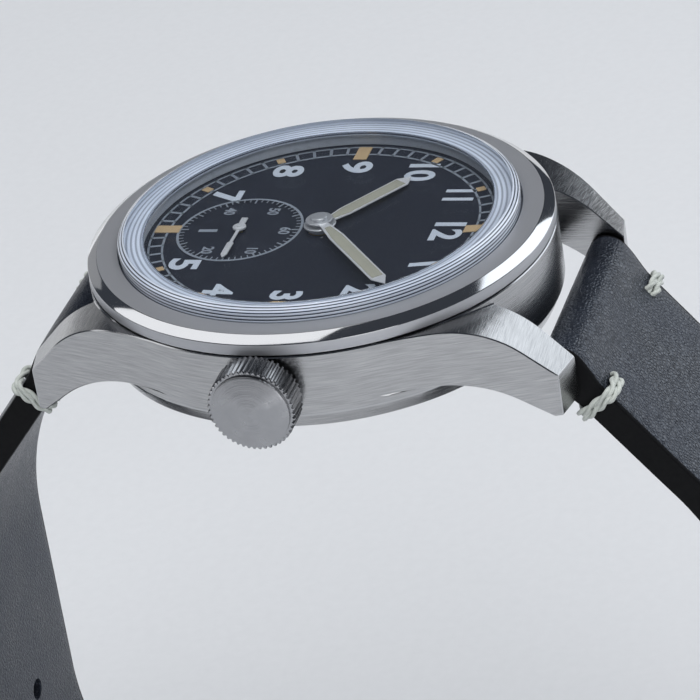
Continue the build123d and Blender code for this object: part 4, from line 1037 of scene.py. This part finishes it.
# A closed ring of twisted plies round one strap edge, centred on the strap's middle plane
def thread_turn(work, matrix, inner, lean, twists, phase):
    middle = (stitch_outer + inner) / 2
    line = thread_line((stitch_outer - inner) / 2, stitch_half_thick)
    to_metres = matrix @ Matrix.Diagonal((mm, mm, mm, 1))
    for ply in range(thread_plies):
        rings = []
        for step, ((x, z), way) in enumerate(line):
            spin = 2 * math.pi * (twists * step / thread_steps + ply / thread_plies) + phase
            side = Vector((-way[1], 0, way[0]))
            up = Vector((0, 1, 0))
            centre = Vector((middle + x, lean * x, z))
            centre += side * ply_swing * math.cos(spin) + up * ply_swing * math.sin(spin)
            facing = Matrix((side, up, (way[0], 0, way[1]))).transposed().to_4x4()
            spot = to_metres @ Matrix.Translation(centre) @ facing
            made = bmesh.ops.create_circle(work, segments=8, radius=ply_radius, matrix=spot)
            rings.append(made["verts"])
        for pair in zip(rings, rings[1:] + rings[:1]):
            edges = []
            for ring in pair:
                edges += {e for vert in ring for e in vert.link_edges if e.other_vert(vert) in ring}
            bmesh.ops.bridge_loops(work, edges=edges)


def add_stitches(name, body, node, side):
    work = bmesh.new()
    spot = strap_matrix(stitch_station, side)
    for sign in (1, -1):
        flip = spot @ Matrix.Diagonal((sign, 1, 1, 1))
        for place, *turn in thread_turns:
            thread_turn(work, flip @ Matrix.Translation((0, place * mm, 0)), *turn)
    bmesh.ops.recalc_face_normals(work, faces=work.faces)
    add_piece(name, work, [thread], body, [node], smooth=80)


add_stitches("thread_short", "strap_short", "lug_stitches_12", 1)
add_stitches("thread_long", "strap_long", "lug_stitches_6", -1)

# Keepers: two flat loops of the same leather with rounded corners, closed at the back. One is
# stitched beside the buckle and the other slides on the strap's short half.
keeper_width, keeper_wall = 5.0, 0.9
keeper_half, keeper_low, keeper_high = 9.1, -1.55, 3.6
keeper_corner, keeper_edge_break = 1.3, 0.22
fixed_keeper_gap, free_keeper_gap = 10.0, 23.0


def add_keeper(name, body, node, station):
    wide = 2 * (keeper_half + keeper_wall)
    work = block((wide, keeper_width, keeper_high - keeper_low + 2 * keeper_wall))
    bmesh.ops.translate(work, vec=(0, 0, (keeper_low + keeper_high) / 2), verts=work.verts)
    ends = [face for face in work.faces if abs(face.normal.y) > 0.9]
    bmesh.ops.delete(work, geom=ends, context="FACES_ONLY")
    bevel(work, edges_along(work, 1), keeper_corner, 6)
    bmesh.ops.recalc_face_normals(work, faces=work.faces)
    bmesh.ops.solidify(work, geom=work.faces[:], thickness=keeper_wall)
    bmesh.ops.recalc_face_normals(work, faces=work.faces)
    bmesh.ops.scale(work, vec=(mm, mm, mm), verts=work.verts)
    break_edges(work, keeper_edge_break, 50, 3)
    bmesh.ops.transform(work, matrix=strap_matrix(station, 1), verts=work.verts)
    add_piece(name, work, [leather], body, [node], smooth=60)


add_keeper("keeper_fixed", "strap_short", "fixed_keeper", short_length - fixed_keeper_gap)
add_keeper("keeper_free", "free_keeper", "free_keeper", short_length - free_keeper_gap)

# Buckle: a brushed steel frame with rounded edges turns on a bar in the strap's folded end,
# with a flat tongue on the same bar. This bar and both spring bars are drawn steel.


# Metal with cut lines. The run is the grain's scale, small along the lines and large across
def brushed_metal(name, shade, roughness, run):
    metal = Finish(name)
    lines = metal.noise(metal.stretched(*run), 1.0, 3.0, 0.6)
    broad = metal.specks(180.0)
    bright = tuple(min(1.0, part * 1.1) for part in shade)
    dull = tuple(part * 0.84 for part in shade)
    rough = metal.spread(lines, 0.25, 0.75, roughness - 0.05, roughness + 0.07) + broad * 0.04
    return metal.surface(
        Base_Color=metal.blend(metal.spread(lines, 0.3, 0.7), dull, bright),
        Metallic=1.0,
        Roughness=rough,
        Normal=metal.relief(lines, 0.6, 0.00001),
    )


buckle_steel = brushed_metal("buckle_steel", (0.6, 0.605, 0.62), 0.32, (600, 14000, 14000))
for name, node, body, edge_break in (
    ("buckle_bow", "buckle_frame", "buckle", 0.4),
    ("buckle_pin", "buckle_tongue", "tongue", 0.16),
):
    steel_work = node_copy(node)
    break_edges(steel_work, edge_break, 30, 4)
    add_piece(name, steel_work, [buckle_steel], body, [node])
bar_steel = brushed_metal("bar_steel", (0.55, 0.56, 0.58), 0.3, (9000, 500, 500))
for node in ("buckle_bar", "spring_bar_12", "spring_bar_6"):
    dress(node, bar_steel)

# Case back and crown tube: the back is a turned steel disc, brushed in rings on its flat
# outer face and pressed into the case. The tube is turned steel, pressed in the case's side.
back_edge_break = 0.08
back_work = node_copy("case_back")
break_edges(back_work, back_edge_break, 18, 2)
back_steel = ring_satin("back_steel", (0.6, 0.61, 0.63), 0.3, 6000.0)
add_piece("back_plate", back_work, [back_steel], "case", ["case_back"])
dress("crown_tube", ring_satin("tube_steel", (0.6, 0.61, 0.63), 0.35))

# Sealed inside the case: rubber gaskets, a steel holder, plated brass plates, brass wheels,
# and polished steel pinions and screws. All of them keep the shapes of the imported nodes.


def rubber_finish():
    rubber = Finish("seal_rubber")
    grain = rubber.specks(5000.0)
    return rubber.surface(
        Base_Color=rubber.blend(grain, (0.02, 0.02, 0.02), (0.045, 0.045, 0.045)),
        Roughness=rubber.spread(grain, 0.3, 0.7, 0.6, 0.75),
        Normal=rubber.relief(grain, 0.3, 0.00002),
    )


rubber = rubber_finish()
for node in ("back_gasket", "crown_seal"):
    dress(node, rubber)
dress("movement_holder", ring_satin("holder_steel", (0.5, 0.5, 0.52), 0.35))
plated_brass = brushed_metal("movement_brass", (0.62, 0.58, 0.47), 0.34, (2400, 9000, 2400))
for node in ("main_plate", "train_bridge", "balance_cock"):
    dress(node, plated_brass)
wheel_brass = ring_satin("wheel_brass", (0.76, 0.6, 0.3), 0.28)
train_wheels = ["barrel", "centre_wheel", "third_wheel", "fourth_wheel", "balance_wheel"]
for node in train_wheels + ["minute_wheel", "hour_wheel"]:
    dress(node, wheel_brass)
small_steel = polished_steel("screw_steel", (0.5, 0.51, 0.54), 0.16)
train_steel = ["bridge_screws", "escape_wheel", "pallet_fork"]
for node in train_steel + ["cannon_pinion", "stem", "sliding_pinion"]:
    dress(node, small_steel)

# Floor: one large sheet of pale paper that touches the strap's lowest point. Far out it
# turns into an evenly pale background, and all round it the room is dim.
floor_level, floor_half = -64.35, 6.0
paper_reach, horizon_reach = 0.22, 0.45
floor_work = bmesh.new()
bmesh.ops.create_grid(floor_work, x_segments=1, y_segments=1, size=floor_half)
bmesh.ops.translate(floor_work, vec=(0, 0, floor_level * mm), verts=floor_work.verts)
floor_mesh = bpy.data.meshes.new("floor")
floor_work.to_mesh(floor_mesh)
floor_work.free()
floor = bpy.data.objects.new("floor", floor_mesh)
bpy.context.collection.objects.link(floor)
sheet = Finish("floor_paper")
paper_grain = sheet.specks(900.0)
pale = sheet.blend(paper_grain, (0.72, 0.73, 0.75), (0.76, 0.77, 0.79))
rays = sheet.node("ShaderNodeLightPath")
seen = sheet.larger(rays.part("Is Camera Ray"), rays.part("Is Glossy Ray"))
seen = sheet.larger(seen, rays.part("Is Transmission Ray"))
far_off = sheet.spread(sheet.reach(sheet.spot()), paper_reach, horizon_reach) * seen
paper = sheet.node("ShaderNodeBsdfPrincipled", None, Base_Color=pale, Roughness=0.8)
horizon = sheet.node("ShaderNodeEmission", None, (0.8, 0.81, 0.83), 1.0)
mixed = sheet.node("ShaderNodeMixShader", None, far_off, paper, horizon)
floor_mesh.materials.append(sheet.shown_by(mixed))

world = bpy.data.worlds.new("studio")
world.use_nodes = True
dim_room = (0.05, 0.056, 0.068, 1)
world.node_tree.nodes["Background"].inputs["Color"].default_value = dim_room
bpy.context.scene.world = world

# Lamps: wide soft boxes over the watch, small cards that its flanks and crown mirror, and a
# large fill from above that nothing mirrors.


# A soft lamp that faces the watch. Its brightness is what a mirror there would show
def soft_lamp(
    name, bearing, climb, away, width, height, brightness, shade=(1, 1, 1), mirrored=True
):
    lamp = bpy.data.lights.new(name, "AREA")
    lamp.shape = "RECTANGLE"
    lamp.size = width
    lamp.size_y = height
    lamp.energy = brightness * math.pi * width * height
    lamp.color = shade
    holder = bpy.data.objects.new(name, lamp)
    bpy.context.collection.objects.link(holder)
    turn, lift = math.radians(bearing), math.radians(climb)
    way = Vector((math.cos(lift) * math.cos(turn), math.cos(lift) * math.sin(turn), math.sin(lift)))
    facing = way.to_track_quat("Z", "Y").to_matrix().to_4x4()
    holder.matrix_world = Matrix.Translation(way * away) @ facing
    holder.visible_glossy = mirrored
    holder.visible_camera = False


soft_lamp("left_softbox", -93, 59, 0.7, 0.44, 0.84, 1.15)
soft_lamp("back_softbox", 141, 24, 0.7, 0.42, 0.8, 1.7, (0.9, 0.95, 1.0))
soft_lamp("crown_card", 34, 26, 0.7, 0.3, 0.3, 1.6)
soft_lamp("low_card", 26, -4, 0.4, 0.2, 0.09, 2.0)
soft_lamp("left_card", -136, 9, 0.7, 0.36, 0.3, 0.3)
soft_lamp("fill", 40, 70, 1.0, 1.0, 1.0, 3.1, (0.98, 0.99, 1.0), mirrored=False)

# Camera: a long lens that looks at the watch from the crown's side, a little rolled, as in
# the photograph. Its place and directions were solved from the watch's outlines there.
camera_place = (0.24261, 0.08911, 0.14031)
camera_right = (-0.26239, 0.95409, -0.14451)
camera_up = (-0.50582, -0.00845, 0.86261)
camera_back = (0.82177, 0.29943, 0.48481)
camera_data = bpy.data.cameras.new("photo_camera")
camera_data.lens = 196.5
camera_data.sensor_width = 36.0
camera_data.clip_start = 0.01
camera = bpy.data.objects.new("photo_camera", camera_data)
bpy.context.collection.objects.link(camera)
camera_turn = Matrix((camera_right, camera_up, camera_back)).transposed().to_4x4()
camera.matrix_world = Matrix.Translation(camera_place) @ camera_turn
bpy.context.scene.camera = camera
bpy.context.scene.view_settings.view_transform = "Standard"
